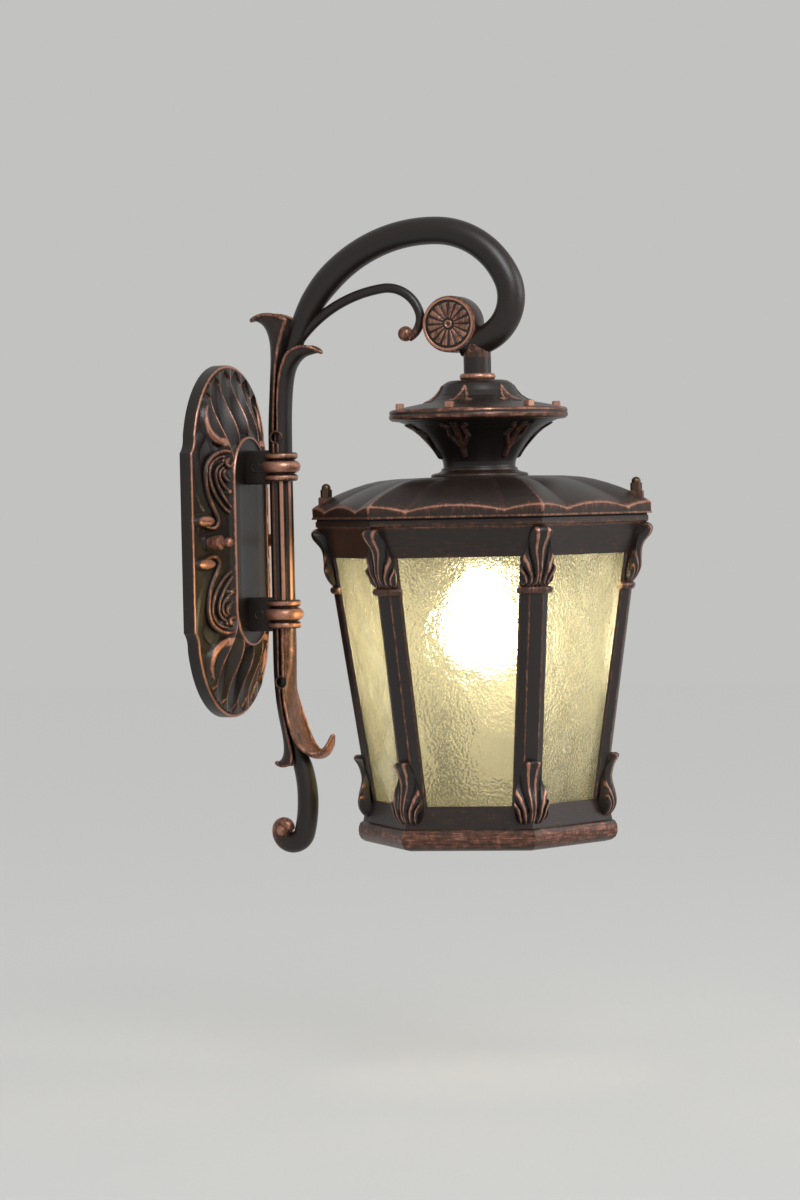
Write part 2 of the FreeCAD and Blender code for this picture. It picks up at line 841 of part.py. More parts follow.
def make_arm_arch():
    full = number("arch_dia") / 2
    small = number("arch_foot_dia") / 2
    radii = [small, small * 1.02, full * 0.74, full * 0.9, full]
    low = tapered(arch_foot, 0.0, rise_arcs, radii)
    start = tangent_arcs(arch_foot, 0.0, rise_arcs, 1)[-1]
    high, _ = tube(start, sum(turn for _, turn in rise_arcs), rest_arcs, full)
    fork = tangent_arcs(arch_foot, 0.0, rise_arcs[:1], 1)[-1]
    root = (fork[0] - full * 0.1, fork[1] - full * 0.9)
    arcs = [(share * number("arch_crown_radius"), turn) for share, turn in BRANCH_SHARES]
    branch, tip = tube(root, BRANCH_HEADING, arcs, number("branch_dia") / 2)
    ball_r = number("branch_ball") / 2
    ball = Part.makeSphere(ball_r, vec(0, -tip[0] + ball_r * 0.5, tip[1] + ball_r * 0.5))
    half = number("drum_length") / 2
    drum = Part.makeCylinder(number("drum_dia") / 2, 2 * half, vec(-half, -drum_at[0], drum_at[1]), vec(1, 0, 0))
    socket = Part.makeCylinder(number("pipe_dia") / 2, full * 1.2, vec(0, -hang, socket_z))
    shape = high.multiFuse([low, branch, ball, drum, socket])
    bore = Part.makeCylinder(rod_hole, number("rod_depth"), vec(0, -hang, socket_z))
    shaped("arm_arch", shape.cut(bore))


def polar(body, feature, count):
    """Repeats a feature about the body's z axis."""
    pattern = body.newObject("PartDesign::PolarPattern", body.Name + "_round")
    pattern.Originals = [feature]
    pattern.Axis = (feature.Profile[0], ["N_Axis"])
    pattern.Angle = 360.0
    pattern.Occurrences = int(size(count).number)
    if isinstance(count, str):
        bind(pattern, "Occurrences", count)
    body.Tip = pattern


def make_rosettes():
    """Fluted rosettes: a rimmed disc with petals round a button."""
    edge = size("drum_dia") / 2 - 1.5
    thick = size("rosette_thick")
    field = thick * 0.5
    inner = edge * 0.3
    for side, label in ((-1, "rosette_left"), (1, "rosette_right")):
        body = turned(label + "_body", [
            (0.0, 0.0),
            (edge, 0.0),
            (edge, thick),
            (edge * 0.9, thick),
            (edge * 0.9, field),
            (inner, field),
            (inner, thick),
            (0.0, thick),
        ])
        petal = padded(body, "XY_Plane", [
            (edge * 0.36, edge * 0.03),
            (edge * 0.36, edge * -0.03),
            (edge * 0.78, edge * -0.12),
            (edge * 0.78, edge * 0.12, edge * 0.125),
        ], thick * 0.5, field - 0.1)
        polar(body, petal, "rosette_petals")
        body.Placement = FreeCAD.Placement(
            vec(side * number("drum_length") / 2, -drum_at[0], drum_at[1]), FreeCAD.Rotation(vec(0, 1, 0), side * 90))
        piece(body, label)


# Crown: pipe, ring, domed dish and trumpet, all threaded on one hollow rod

eave_z = socket_z - sum(
    number(name) for name in
    ("pipe_length", "ring_height", "cap_height", "vase_height", "fascia_height", "roof_rise"))


def on_lantern(height):
    """Placement on the lantern's axis, at a height over the eave, turned with the lantern."""
    return FreeCAD.Placement(
        vec(0, -hang, eave_z + height), FreeCAD.Rotation(vec(0, 0, 1), number("lantern_turn")))


roof_top = number("fascia_height") + number("roof_rise")
vase_top = roof_top + number("vase_height")
cap_top = vase_top + number("cap_height")
ring_top = cap_top + number("ring_height")
pipe_top = ring_top + number("pipe_length")


def make_crown():
    bore = size("rod_dia") / 2 + "glass_gap"
    pipe = turned("pipe", [
        (bore, 0.0),
        (size("pipe_dia") / 2, 0.0),
        (size("pipe_dia") / 2, "pipe_length"),
        (bore, "pipe_length"),
    ])
    pipe.Placement = on_lantern(ring_top)
    piece(pipe, "drop_pipe")
    tall = size("ring_height")
    ring = turned("ring", [
        (bore, 0.0),
        (size("ring_dia") / 2 - tall * 0.25, 0.0),
        (size("ring_dia") / 2 - tall * 0.25, tall, tall * 0.625),
        (bore, tall),
    ])
    ring.Placement = on_lantern(cap_top)
    piece(ring, "pipe_ring")
    top = size("cap_height")
    edge = size("dish_edge")
    rim = size("dish_dia") / 2
    dome = size("dome_dia") / 2
    foot = size("dome_foot_dia") / 2
    skin = size("shell")
    cap = turned("cap", [
        (bore, top - skin),
        (dome - skin, top - skin),
        (dome + skin * 0.6, top * 0.62),
        (foot - skin, top * 0.36),
        (size("vase_mouth_dia") / 2 - skin * 2, edge - skin),
        (size("vase_mouth_dia") / 2 - skin * 2, 0.0),
        (rim - skin, 0.0),
        (rim - skin * 0.4, edge * 0.45, edge * 0.4),
        (rim - skin * 0.4, edge * 0.95, edge * 0.32),
        (rim - skin * 1.4, edge * 1.1),
        (foot + skin * 2, top * 0.41),
        (foot, top * 0.46),
        (dome + skin * 2.1, top * 0.76, -(top * 0.6)),
        (dome + skin * 1.5, top * 0.89),
        (dome, top),
        (bore, top),
    ])
    tab = padded(cap, "XY_Plane", rectangle(
        size("tab_size") / 2, size("tab_size") / 2, rim - skin * 3.6), size("tab_size") * 0.8, edge)
    polar(cap, tab, FACES)
    cap.Placement = on_lantern(vase_top)
    piece(cap, "crown_cap")
    tall = size("vase_height")
    step = size("vase_foot_height")
    neck = size("vase_neck_dia") / 2
    mouth = size("vase_mouth_dia") / 2
    rise = tall - step - skin * 0.3
    flare = ((mouth - neck) * (mouth - neck) + rise * rise) / ((mouth - neck) * 1.4)
    vase = turned("vase", [
        (neck - skin, 0.0),
        (size("vase_foot_dia") / 2, 0.0),
        (size("vase_foot_dia") / 2, step * 0.3),
        (neck + skin * 0.4, step),
        (neck, step + skin * 0.3),
        (mouth, tall - skin * 0.3, -flare),
        (mouth, tall),
        (mouth - skin, tall),
        (neck - skin, step + skin * 0.3, flare),
    ])
    vase.Placement = on_lantern(roof_top)
    piece(vase, "crown_vase")


ROOF_SKIN = 4.5
ROD_NUT_HEIGHT = 5.0
HOLDER_LEVEL = 6.0
ROD_END = 10.0


def make_rod():
    low = HOLDER_LEVEL - ROD_END
    rod = turned("rod", [
        (size("rod_bore") / 2, 0.0),
        (size("rod_dia") / 2, 0.0),
        (size("rod_dia") / 2, pipe_top - low + number("rod_depth") - OUT),
        (size("rod_bore") / 2, pipe_top - low + number("rod_depth") - OUT),
    ])
    rod.Placement = on_lantern(low)
    piece(rod, "hanger_rod")
    nuts = []
    for level in (roof_top - ROOF_SKIN - ROD_NUT_HEIGHT, HOLDER_LEVEL):
        nut = new_body("rod_nut")
        padded(nut, "XY_Plane", six_sided(size("rod_dia") * 0.85), ROD_NUT_HEIGHT)
        pocketed(nut, "XY_Plane", disc(size("rod_dia") / 2 + "glass_gap"), ROD_NUT_HEIGHT, 0.0, True)
        nut.Placement = on_lantern(level)
        nuts.append(nut)
    group = doc.addObject("Part::Compound", "rod_nut_pair")
    group.Links = nuts
    piece(group, "rod_nuts")


def six_sided(apothem):
    """Hexagon with flats at this distance from its middle and a corner on the -y side."""
    corner = apothem / math.cos(math.radians(30))
    return [
        (corner * math.sin(math.radians(60 * k)), corner * -math.cos(math.radians(60 * k))) for k in range(FACES)]


# Roof: six faces of three lobes each, with a fascia, two nut seats and a hollow underside

cage_top_radius = size("post_radius") + "frieze_overhang"
eave_radius = cage_top_radius + "eave_overhang"
nut_radius_at = eave_radius - "nut_inset"
LOBE_SHARES = (0.0, 0.22, 0.5, 0.78)
LOBE_DIPS = (0.0, 1.0, -0.1, 1.0)
ROOF_STATIONS = ((0.88, 0.36, 0.8), (0.746, 0.68, 0.55), (0.597, 0.91, 0.25))


def lobed(radius, height, dip):
    """One course of the roof: corners, creases and lobes of the six faces."""
    corners = hexagon(radius, height)
    points = []
    for k in range(FACES):
        here, there = corners[k], corners[(k + 1) % FACES]
        for share, depth in zip(LOBE_SHARES, LOBE_DIPS):
            points.append(here + (there - here) * share - vec(0, 0, dip * depth))
    return points


def make_roof():
    eave = eave_radius.number
    fascia = number("fascia_height")
    rise = number("roof_rise")
    dip = number("scallop_dip")
    courses = [lobed(eave, 0.0, 0.0), lobed(eave, fascia, dip)]
    for share, up, fade in ROOF_STATIONS:
        courses.append(lobed(eave * share, fascia + rise * up, dip * fade))
    courses.append(lobed(number("roof_flat_radius"), roof_top, 0.0))
    shell = lofted(courses)
    inner = [(eave * 0.9, -OUT), (eave * 0.88, fascia * 0.6)]
    for share, up, fade in ROOF_STATIONS[1:]:
        inner.append((eave * share, fascia + rise * up - dip * fade - ROOF_SKIN))
    inner.append((number("roof_flat_radius"), roof_top - ROOF_SKIN))
    shell = shell.cut(lofted([hexagon(r, z) for r, z in inner]))
    cell = number("seat_size")
    at = nut_radius_at.number
    holes = [Part.makeCylinder(rod_hole, roof_top + OUT)]
    for side in (-1, 1):
        seat = Part.makeBox(cell, cell, number("nut_seat_height") - fascia + OUT,
                            vec(-cell / 2, side * at - cell / 2, fascia - OUT))
        shell = shell.fuse(seat)
        holes.append(Part.makeCylinder(
            number("stud_dia") / 2 + number("glass_gap"), roof_top, vec(0, side * at, 0)))
    roof = shaped("roof", shell.cut(Part.makeCompound(holes)))
    roof.Placement = on_lantern(0.0)


def make_roof_fixings():
    thick = number("gasket_thick")
    gasket = new_body("gasket")
    edge = cage_top_radius * 0.86
    padded(gasket, "XY_Plane", six_sided(edge), "gasket_thick")
    pocketed(gasket, "XY_Plane", six_sided(edge - "gasket_width"), "gasket_thick", 0.0, True)
    for side in (-1, 1):
        hole = disc(size("stud_dia") / 2 + "glass_gap", 0.0, nut_radius_at * side)
        pocketed(gasket, "XY_Plane", hole, "gasket_thick", 0.0, True)
    gasket.Placement = on_lantern(-thick)
    piece(gasket, "roof_gasket")
    studs = []
    nuts = []
    for side in (-1, 1):
        stud = doc.addObject("Part::Cylinder", "roof_stud")
        bind(stud, "Radius", size("stud_dia") / 2)
        bind(stud, "Height", size("nut_seat_height") + "gasket_thick" + size("stud_dia") * 2 + size("nut_height") / 2)
        spot = on_lantern(-thick - 2 * number("stud_dia")).multVec(vec(0, side * nut_radius_at.number, 0))
        stud.Placement = FreeCAD.Placement(spot, FreeCAD.Rotation())
        studs.append(stud)
        nut = new_body("cap_nut")
        tall = size("nut_height")
        padded(nut, "XY_Plane", six_sided(size("nut_flats") / 2), tall * 0.55)
        dome = nut.newObject("PartDesign::Revolution", "nut_dome")
        ball = size("nut_flats") * 0.45
        dome.Profile = outline(nut, "XZ_Plane", [
            (0.0, tall * 0.4), (ball, tall * 0.4), (ball, tall - ball), (0.0, tall, ball)])
        dome.ReferenceAxis = (dome.Profile[0], ["V_Axis"])
        dome.Angle = 360.0
        pocketed(nut, "XY_Plane", disc(size("stud_dia") / 2 + "glass_gap"), tall * 0.5 + OUT, 0.0, True)
        spot = on_lantern(number("nut_seat_height")).multVec(vec(0, side * nut_radius_at.number, 0))
        nut.Placement = FreeCAD.Placement(spot, FreeCAD.Rotation(vec(0, 0, 1), number("lantern_turn")))
        nuts.append(nut)
    for label, members in (("roof_studs", studs), ("cap_nuts", nuts)):
        group = doc.addObject("Part::Compound", label + "_pair")
        group.Links = members
        piece(group, label)


# Cage: frieze, six grooved posts with acanthus leaves, skirt and base moulding. Heights count down from its top.

cage_top = -number("gasket_thick")
GROOVE_START = 7.0
LIP = 1.9
INNER_LIP = 2.2
PANE_SET = 0.86
TAN30 = math.tan(math.radians(30))


def post_at(depth):
    return number("post_radius") - number("cage_taper") * depth


def post_section(depth):
    """Section of one post, about its outer edge, with a groove for the pane on each side."""
    front = number("post_front") / 2
    wide = number("post_width") / 2
    groove = number("glass_thick") + 2 * number("glass_gap")
    tuck = groove * math.sin(math.radians(30))
    back = groove * math.cos(math.radians(30))
    start = GROOVE_START
    on_pane = -PANE_SET - TAN30 * wide
    bottom = (-PANE_SET - TAN30 * start, start)
    floor = (bottom[0] - back, start - tuck)
    lip = (floor[0] - TAN30 * 4.3, floor[1] + 4.3)
    behind = (lip[0] - INNER_LIP * 0.866, lip[1] - INNER_LIP * 0.5)
    half = [(0.0, front), (on_pane + LIP, wide), (on_pane, wide), bottom, floor, lip, behind]
    radius = post_at(depth)
    around = half + [(u, -t) for u, t in reversed(half)]
    return [vec(t, -radius - u, -depth) for u, t in around]


LEAF_RIBS = (-1.0, -0.72, -0.45, -0.22, 0.0, 0.22, 0.45, 0.72, 1.0)


def cage_leaf(stations, sink):
    """An acanthus leaf over a post: ribbed outside, closed by a flat back sunk in the post.

    A station is depth, distance of the leaf's midrib from the axis, and half its width.
    """
    sections = []
    for depth, radius, half in stations:
        points = []
        for k, share in enumerate(LEAF_RIBS):
            rib = 0.0 if k % 2 == 0 else -0.09 * half
            points.append(vec(share * half, -radius + (0.3 * share * share * half) - rib, -depth))
        back = min(post_at(depth) - sink, radius - 0.5 * half)
        points.append(vec(half * 0.8, -back, -depth))
        points.append(vec(-half * 0.8, -back, -depth))
        sections.append(points)
    return lofted(sections)


CAPITAL = ((0.03, 8.0, 4.0), (0.10, 12.2, 4.8), (0.22, 11.5, 6.5), (0.34, 4.8, 9.5), (0.50, 2.9, 12.5),
           (0.68, 3.0, 13.6), (0.84, 2.9, 12.5), (0.93, 1.4, 10.5), (0.935, 3.0, 9.0), (1.0, 2.6, 9.0))
FOOT = ((0.02, 5.6, 3.2), (0.10, 7.4, 4.8), (0.24, 3.6, 7.0), (0.38, 2.3, 9.5), (0.58, 6.0, 13.0),
        (0.74, 8.2, 14.0), (0.90, 6.5, 11.5), (1.0, 3.5, 6.0))


def make_cage():
    band = number("band_height")
    frieze = number("frieze_height")
    tall = number("cage_height")
    base_h = number("base_height")
    floor = tall - base_h - number("glass_thick") + OUT
    skirt = floor - number("skirt_height") + number("glass_thick")
    top_r = cage_top_radius.number
    gap = number("glass_gap")

    def pane_edge(depth):
        return post_at(depth) - PANE_SET + 1.5 * gap

    shape = hex_shell(
        [(top_r, 0.0), (top_r, -band), (top_r - 2.6, -band - OUT), (post_at(frieze) + 1.8, -frieze)],
        [(pane_edge(-OUT), OUT), (pane_edge(frieze + OUT), -frieze - OUT)])
    rail = number("base_radius")
    floor_low = floor + 5 * OUT
    outer = [
        (post_at(skirt) + 2.0, -skirt),
        (rail - 4.2, -tall + base_h),
        (rail - 1.4, -tall + base_h * 0.87),
        (rail, -tall + base_h * 0.55),
        (rail - 1.4, -tall + base_h * 0.24),
        (rail - 6.0, -tall + base_h * 0.07),
        (rail - 10.0, -tall),
    ]
    base = lofted([hexagon(r, z) for r, z in outer])
    opening = number("base_opening")
    for hollow in (
        [(pane_edge(skirt - OUT), -skirt + OUT), (pane_edge(floor), -floor)],
        [(opening, -floor + OUT), (opening, -floor_low - OUT)],
        [(opening + 14.0, -floor_low), (opening + 16.0, -tall - OUT)],
    ):
        base = base.cut(lofted([hexagon(r, z) for r, z in hollow]))
    posts = []
    leaves = []
    foot_low = tall - base_h + 2 * OUT
    for k in range(FACES):
        turn = 360.0 / FACES * k
        post = lofted([post_section(0.0), post_section(floor + OUT)])
        stations = []
        for share, proud, half in CAPITAL:
            depth = share * number("capital_height")
            stations.append((depth, post_at(depth) + proud, half))
        capital = cage_leaf(stations, 1.5)
        stations = []
        for share, proud, half in FOOT:
            depth = foot_low - (1 - share) * number("foot_height")
            stations.append((depth, post_at(depth) + proud, half))
        foot = cage_leaf(stations, 1.5)
        for solid, group in ((post, posts), (capital, leaves), (foot, leaves)):
            solid.rotate(vec(0, 0, 0), vec(0, 0, 1), turn)
            group.append(solid)
    shape = shape.multiFuse([base] + posts)
    shape = shape.multiFuse(leaves)
    holes = []
    for side in (-1, 1):
        holes.append(Part.makeCylinder(
            number("stud_dia") / 2 + gap, 2 * number("stud_dia") + OUT,
            vec(0, side * nut_radius_at.number, OUT), vec(0, 0, -1)))
    cage = shaped("lantern_cage", shape.cut(Part.makeCompound(holes)))
    cage.Placement = on_lantern(cage_top)
    return floor


def make_glass(floor):
    """Six panes that drop into the posts' grooves from above, and the pane in the base."""
    gap = size("glass_gap")
    lean = math.atan(number("cage_taper") * math.cos(math.radians(30)))
    high = number("band_height") * 1.4
    length = (floor - high) / math.cos(lean)
    tuck = GROOVE_START / math.cos(math.radians(30))
    taper = size("cage_taper")
    edge = size("post_radius") - PANE_SET - tuck * 2
    low_half = (edge - taper * floor) / 2 - gap
    top_half = (edge - taper * high) / 2 - gap
    apothem = (post_at(floor) - PANE_SET) * math.cos(math.radians(30)) - number("glass_gap")
    for k in range(FACES):
        pane = new_body("pane")
        padded(pane, "XZ_Plane", [
            (low_half, 0.0), (top_half, length), (-top_half, length), (-low_half, 0.0)], "glass_thick")
        face = FreeCAD.Placement(vec(0, 0, 0), FreeCAD.Rotation(vec(0, 0, 1), 360.0 / FACES * (k + 0.5)))
        tilt = FreeCAD.Placement(vec(0, -apothem, -floor), FreeCAD.Rotation(vec(1, 0, 0), math.degrees(lean)))
        back = FreeCAD.Placement(vec(0, number("glass_thick"), 0), FreeCAD.Rotation())
        pane.Placement = on_lantern(cage_top) * face * tilt * back
        piece(pane, "glass_pane_%d" % (k + 1))
    plate = new_body("base_pane")
    padded(plate, "XY_Plane", six_sided(size("base_opening") * 0.955), "glass_thick")
    plate.Placement = on_lantern(cage_top - floor)
    piece(plate, "bottom_glass")


def make_lamp():
    bore = size("rod_dia") / 2 + "glass_gap"
    long = size("holder_length")
    wall = size("holder_wall")
    outer = size("holder_dia") / 2
    grip = size("bulb_cap_dia") / 2 + "glass_gap"
    holder = turned("holder", [
        (bore, -wall),
        (outer - wall, -wall),
        (outer - wall, long * -0.38),
        (grip, long * -0.38),
        (grip, -long),
        (outer, -long),
        (outer, -wall),
        (outer - wall * 2, 0.0),
        (bore, 0.0),
    ])
    holder.Placement = on_lantern(HOLDER_LEVEL)
    piece(holder, "lamp_holder")
    globe = size("bulb_dia") / 2
    tall = size("bulb_length")
    cap = size("bulb_cap_dia") / 2
    bulb = turned("lamp_bulb", [
        (0.0, -tall),
        (globe, globe - tall, globe),
        (cap * 1.1, tall * -0.32, tall),
        (cap, tall * -0.27),
        (cap, 0.0),
        (0.0, 0.0),
    ])
    bulb.Placement = on_lantern(HOLDER_LEVEL - number("holder_length") * 0.4)
    piece(bulb, "bulb")


doc.recompute()
make_wall_plate()
make_mounting_strap()
make_strap_studs()
make_plate_knobs()
make_terminal_block()
make_arm_bolts()
make_arm_post()
make_arm_arch()
make_rosettes()
make_crown()
make_rod()
make_roof()
make_roof_fixings()
make_glass(make_cage())
make_lamp()

doc.recompute()
for obj in doc.Objects:
    if "Invalid" in obj.State or "Error" in obj.State:
        raise RuntimeError("%s failed: %s" % (obj.Label, obj.State))
for obj in pieces:
    if obj.Shape.isNull() or not obj.Shape.isValid():
        raise RuntimeError("%s has no sound shape" % obj.Label)
os.makedirs("parts", exist_ok=True)
for obj in pieces:
    obj.Shape.exportStep("parts/%s.step" % obj.Label)
    print(obj.Label, len(obj.Shape.Solids), round(obj.Shape.Volume))
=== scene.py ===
"""An outdoor wall light: a cast lantern with hammered glass on an arched arm and a carved wall plate.

Sizes are millimetres. A point is (x, depth, height): x to the right of someone who faces the wall,
depth out from the wall, height over the middle of the wall plate.
"""
import math

import bmesh
import bpy
import numpy as np
from mathutils import Matrix


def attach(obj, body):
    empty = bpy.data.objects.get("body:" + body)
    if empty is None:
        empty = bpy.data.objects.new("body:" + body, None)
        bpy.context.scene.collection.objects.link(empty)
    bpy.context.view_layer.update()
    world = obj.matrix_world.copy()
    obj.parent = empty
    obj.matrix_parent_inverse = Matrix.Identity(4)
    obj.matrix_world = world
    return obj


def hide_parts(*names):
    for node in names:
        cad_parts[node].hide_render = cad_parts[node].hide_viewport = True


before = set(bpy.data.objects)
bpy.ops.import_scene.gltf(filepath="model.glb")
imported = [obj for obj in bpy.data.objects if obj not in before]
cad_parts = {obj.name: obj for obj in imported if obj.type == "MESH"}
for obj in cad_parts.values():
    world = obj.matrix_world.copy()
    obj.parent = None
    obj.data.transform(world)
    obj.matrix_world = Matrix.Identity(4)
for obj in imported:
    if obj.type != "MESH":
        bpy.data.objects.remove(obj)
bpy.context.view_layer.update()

# Wall plate: a shield of cast aluminium, hollow behind, with a raised middle boss.
# Its field is carved with a ribbed fan above and below and four leafy C-scrolls, and the raised edges
# are rubbed through the black-brown paint to copper. Two finial nuts hold it on a strap.

MM = 0.001
PAINT = "#1d1613"
BROWN = "#372821"
DARK_COPPER = "#6d4739"
COPPER = "#c28e78"


def linear(colour):
    """An sRGB hex colour as linear red, green, blue and full alpha."""
    parts = [int(colour[i:i + 2], 16) / 255 for i in (1, 3, 5)]
    return [c / 12.92 if c <= 0.04045 else ((c + 0.055) / 1.055) ** 2.4 for c in parts] + [1.0]


def add(tree, kind, sockets=None, **settings):
    """Adds a node with its settings. A socket is given a constant, or the output that is linked to it."""
    node = tree.nodes.new(kind)
    for name, value in settings.items():
        setattr(node, name, value)
    for name, value in (sockets or {}).items():
        if isinstance(value, bpy.types.NodeSocket):
            tree.links.new(value, node.inputs[name])
        else:
            node.inputs[name].default_value = value
    return node


def blank(name):
    """A new material with only its output node."""
    material = bpy.data.materials.new(name)
    material.use_nodes = True
    material.node_tree.nodes.clear()
    return material, material.node_tree, material.node_tree.nodes.new("ShaderNodeOutputMaterial")


PATCH, STREAK, GRAIN = 5.0, 1.4, 0.9
UPRIGHT, LYING = (1.0, 1.0, 0.12), (0.1, 0.1, 1.0)
BREAKING = 0.75


def rubbed_casting(name, bias):
    """Black-brown paint on cast aluminium with copper rubbed on by hand.

    The piece's own "rub" attribute, from 0 in the hollows to 1 on the edges, plus a bias is broken up by
    patches and by brush streaks, upright or lying as the piece's "lie" attribute says. Where it rises, the
    dull paint gives way to a soft metallic copper.
    """
    material, tree, out = blank(name)
    place = add(tree, "ShaderNodeTexCoord").outputs["Object"]
    rub = add(tree, "ShaderNodeAttribute", attribute_name="rub").outputs["Fac"]
    patches = add(tree, "ShaderNodeTexNoise", {
        "Vector": place, "Scale": 1 / (PATCH * MM), "Detail": 6.0, "Roughness": 0.65})
    streaks = []
    for squeeze in (UPRIGHT, LYING):
        drawn = add(tree, "ShaderNodeMapping", {"Vector": place, "Scale": squeeze})
        streaks.append(add(tree, "ShaderNodeTexNoise", {
            "Vector": drawn.outputs["Vector"], "Scale": 1 / (STREAK * MM), "Detail": 3.0, "Roughness": 0.6}))
    lie = add(tree, "ShaderNodeAttribute", attribute_name="lie").outputs["Fac"]
    brushed = add(tree, "ShaderNodeMix", {
        "Factor": lie, "A": streaks[0].outputs["Fac"], "B": streaks[1].outputs["Fac"]})
    broken = add(tree, "ShaderNodeMath", {
        0: patches.outputs["Fac"], 1: brushed.outputs["Result"]}, operation="ADD")
    worn = add(tree, "ShaderNodeMath", {
        0: broken.outputs["Value"], 1: BREAKING, 2: bias - BREAKING}, operation="MULTIPLY_ADD")
    worn = add(tree, "ShaderNodeMath", {0: worn.outputs["Value"], 1: rub}, operation="ADD")
    mask = add(tree, "ShaderNodeMapRange", {
        "Value": worn.outputs["Value"], "From Min": 0.1, "From Max": 1.05}, interpolation_type="SMOOTHSTEP")
    ramp = add(tree, "ShaderNodeValToRGB", {"Fac": mask.outputs["Result"]})
    ramp.color_ramp.elements[0].color = linear(PAINT)
    ramp.color_ramp.elements[1].color = linear(COPPER)
    ramp.color_ramp.elements.new(0.3).color = linear(BROWN)
    ramp.color_ramp.elements.new(0.62).color = linear(DARK_COPPER)
    metal = add(tree, "ShaderNodeMapRange", {"Value": mask.outputs["Result"], "To Min": 0.0, "To Max": 0.75})
    grain = add(tree, "ShaderNodeTexNoise", {"Vector": place, "Scale": 1 / (GRAIN * MM), "Detail": 3.0})
    bump = add(tree, "ShaderNodeBump", {"Height": grain.outputs["Fac"], "Strength": 0.18, "Distance": 0.0004})
    skin = add(tree, "ShaderNodeBsdfPrincipled", {
        "Base Color": ramp.outputs["Color"], "Metallic": metal.outputs["Result"], "Roughness": 0.38,
        "Normal": bump.outputs["Normal"]})
    tree.links.new(skin.outputs["BSDF"], out.inputs["Surface"])
    return material


casting = rubbed_casting("rubbed cast aluminium", 0.0)


def smooth(share):
    """Zero below 0, one above 1, and an S-curve between them."""
    share = np.clip(share, 0.0, 1.0)
    return share * share * (3 - 2 * share)


def cast(name, grids, material, *nodes, sharp=40.0):
    """One mesh from grids of points with a rub value each, put in the place of nodes.

    Neighbouring points of a grid make quads. Points that meet at seams, poles and ends become one, and all
    faces turn outwards.
    """
    points, rubs, lies, quads, start = [], [], [], [], 0
    for grid, rub, *lie in grids:
        rows, columns = grid.shape[:2]
        first = (np.arange(rows - 1)[:, None] * columns + np.arange(columns - 1)).ravel() + start
        quads.append(np.stack([first, first + 1, first + columns + 1, first + columns], -1))
        points.append(grid.reshape(-1, 3) * (MM, -MM, MM))
        rubs.append(np.broadcast_to(rub, (rows, columns)).ravel())
        lies.append(np.full(rows * columns, sum(lie)))
        start += rows * columns
    mesh = bpy.data.meshes.new(name)
    mesh.from_pydata(np.concatenate(points).tolist(), [], np.concatenate(quads).tolist())
    for layer_name, values in (("rub", rubs), ("lie", lies)):
        layer = mesh.attributes.new(layer_name, "FLOAT", "POINT")
        layer.data.foreach_set("value", np.concatenate(values).astype(np.float32))
    shell = bmesh.new()
    shell.from_mesh(mesh)
    bmesh.ops.remove_doubles(shell, verts=shell.verts, dist=1e-6)
    bmesh.ops.recalc_face_normals(shell, faces=shell.faces)
    shell.to_mesh(mesh)
    shell.free()
    mesh.shade_smooth()
    mesh.set_sharp_from_angle(angle=math.radians(sharp))
    piece = bpy.data.objects.new(name, mesh)
    bpy.context.collection.objects.link(piece)
    mesh.materials.append(material)
    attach(piece, "root")
    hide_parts(*nodes)
    return piece


def bend(start, heading, arcs, steps):
    """Points along tangent arcs and the heading at each, in radians.

    The heading is degrees clockwise from up. An arc is its radius and its turn, clockwise where positive.
    """
    turns = np.radians(np.concatenate([np.full(steps, turn / steps) for _, turn in arcs]))
    radii = np.concatenate([np.full(steps, radius) for radius, _ in arcs])
    after = math.radians(heading) + np.cumsum(turns)
    way = after - turns / 2
    chords = 2 * radii * np.sin(np.abs(turns) / 2)
    steps_taken = np.stack([np.sin(way), np.cos(way)], -1) * chords[:, None]
    points = np.concatenate([[start], np.asarray(start) + np.cumsum(steps_taken, axis=0)])
    return points, np.concatenate([[math.radians(heading)], after])


def eased(points, count):
    """A smooth line through a few points: its corners are cut three times and it is divided evenly."""
    line = np.asarray(points, float)
    for _ in range(3):
        first, second = line[:-1] * 0.75 + line[1:] * 0.25, line[:-1] * 0.25 + line[1:] * 0.75
        line = np.concatenate([line[:1], np.stack([first, second], 1).reshape(-1, line.shape[1]), line[-1:]])
    run = np.concatenate([[0.0], np.cumsum(np.sqrt((np.diff(line, axis=0) ** 2).sum(1)))])
    at = np.linspace(0.0, run[-1], count)
    return np.stack([np.interp(at, run, column) for column in line.T], -1)


PLATE_HALF, PLATE_TOP = 77.0, 140.0
SHOULDER, SHOULDER_STEP, SHOULDER_RISE = 70.0, 7.0, 14.0
RIM, LIP, LIP_HEIGHT = 10.0, 3.0, 1.5
BOSS_HALF, BOSS_TOP, BOSS_FLARE = 32.0, 83.0, 1.5
BOSS_FOOT, BOSS_FACE, BOSS_FLOOR, BOSS_LIP = 22.0, 27.0, 25.5, 2.0
BOSS_INSIDE, INNER_EDGE, INNER_RISE = 22.5, 5.5, 13.0
WALL = 3.0
HOLLOW = 1.7
QUARTER, FIELD_ROWS = 240, 54
EVEN = np.linspace(0.0, 1.0, 400)


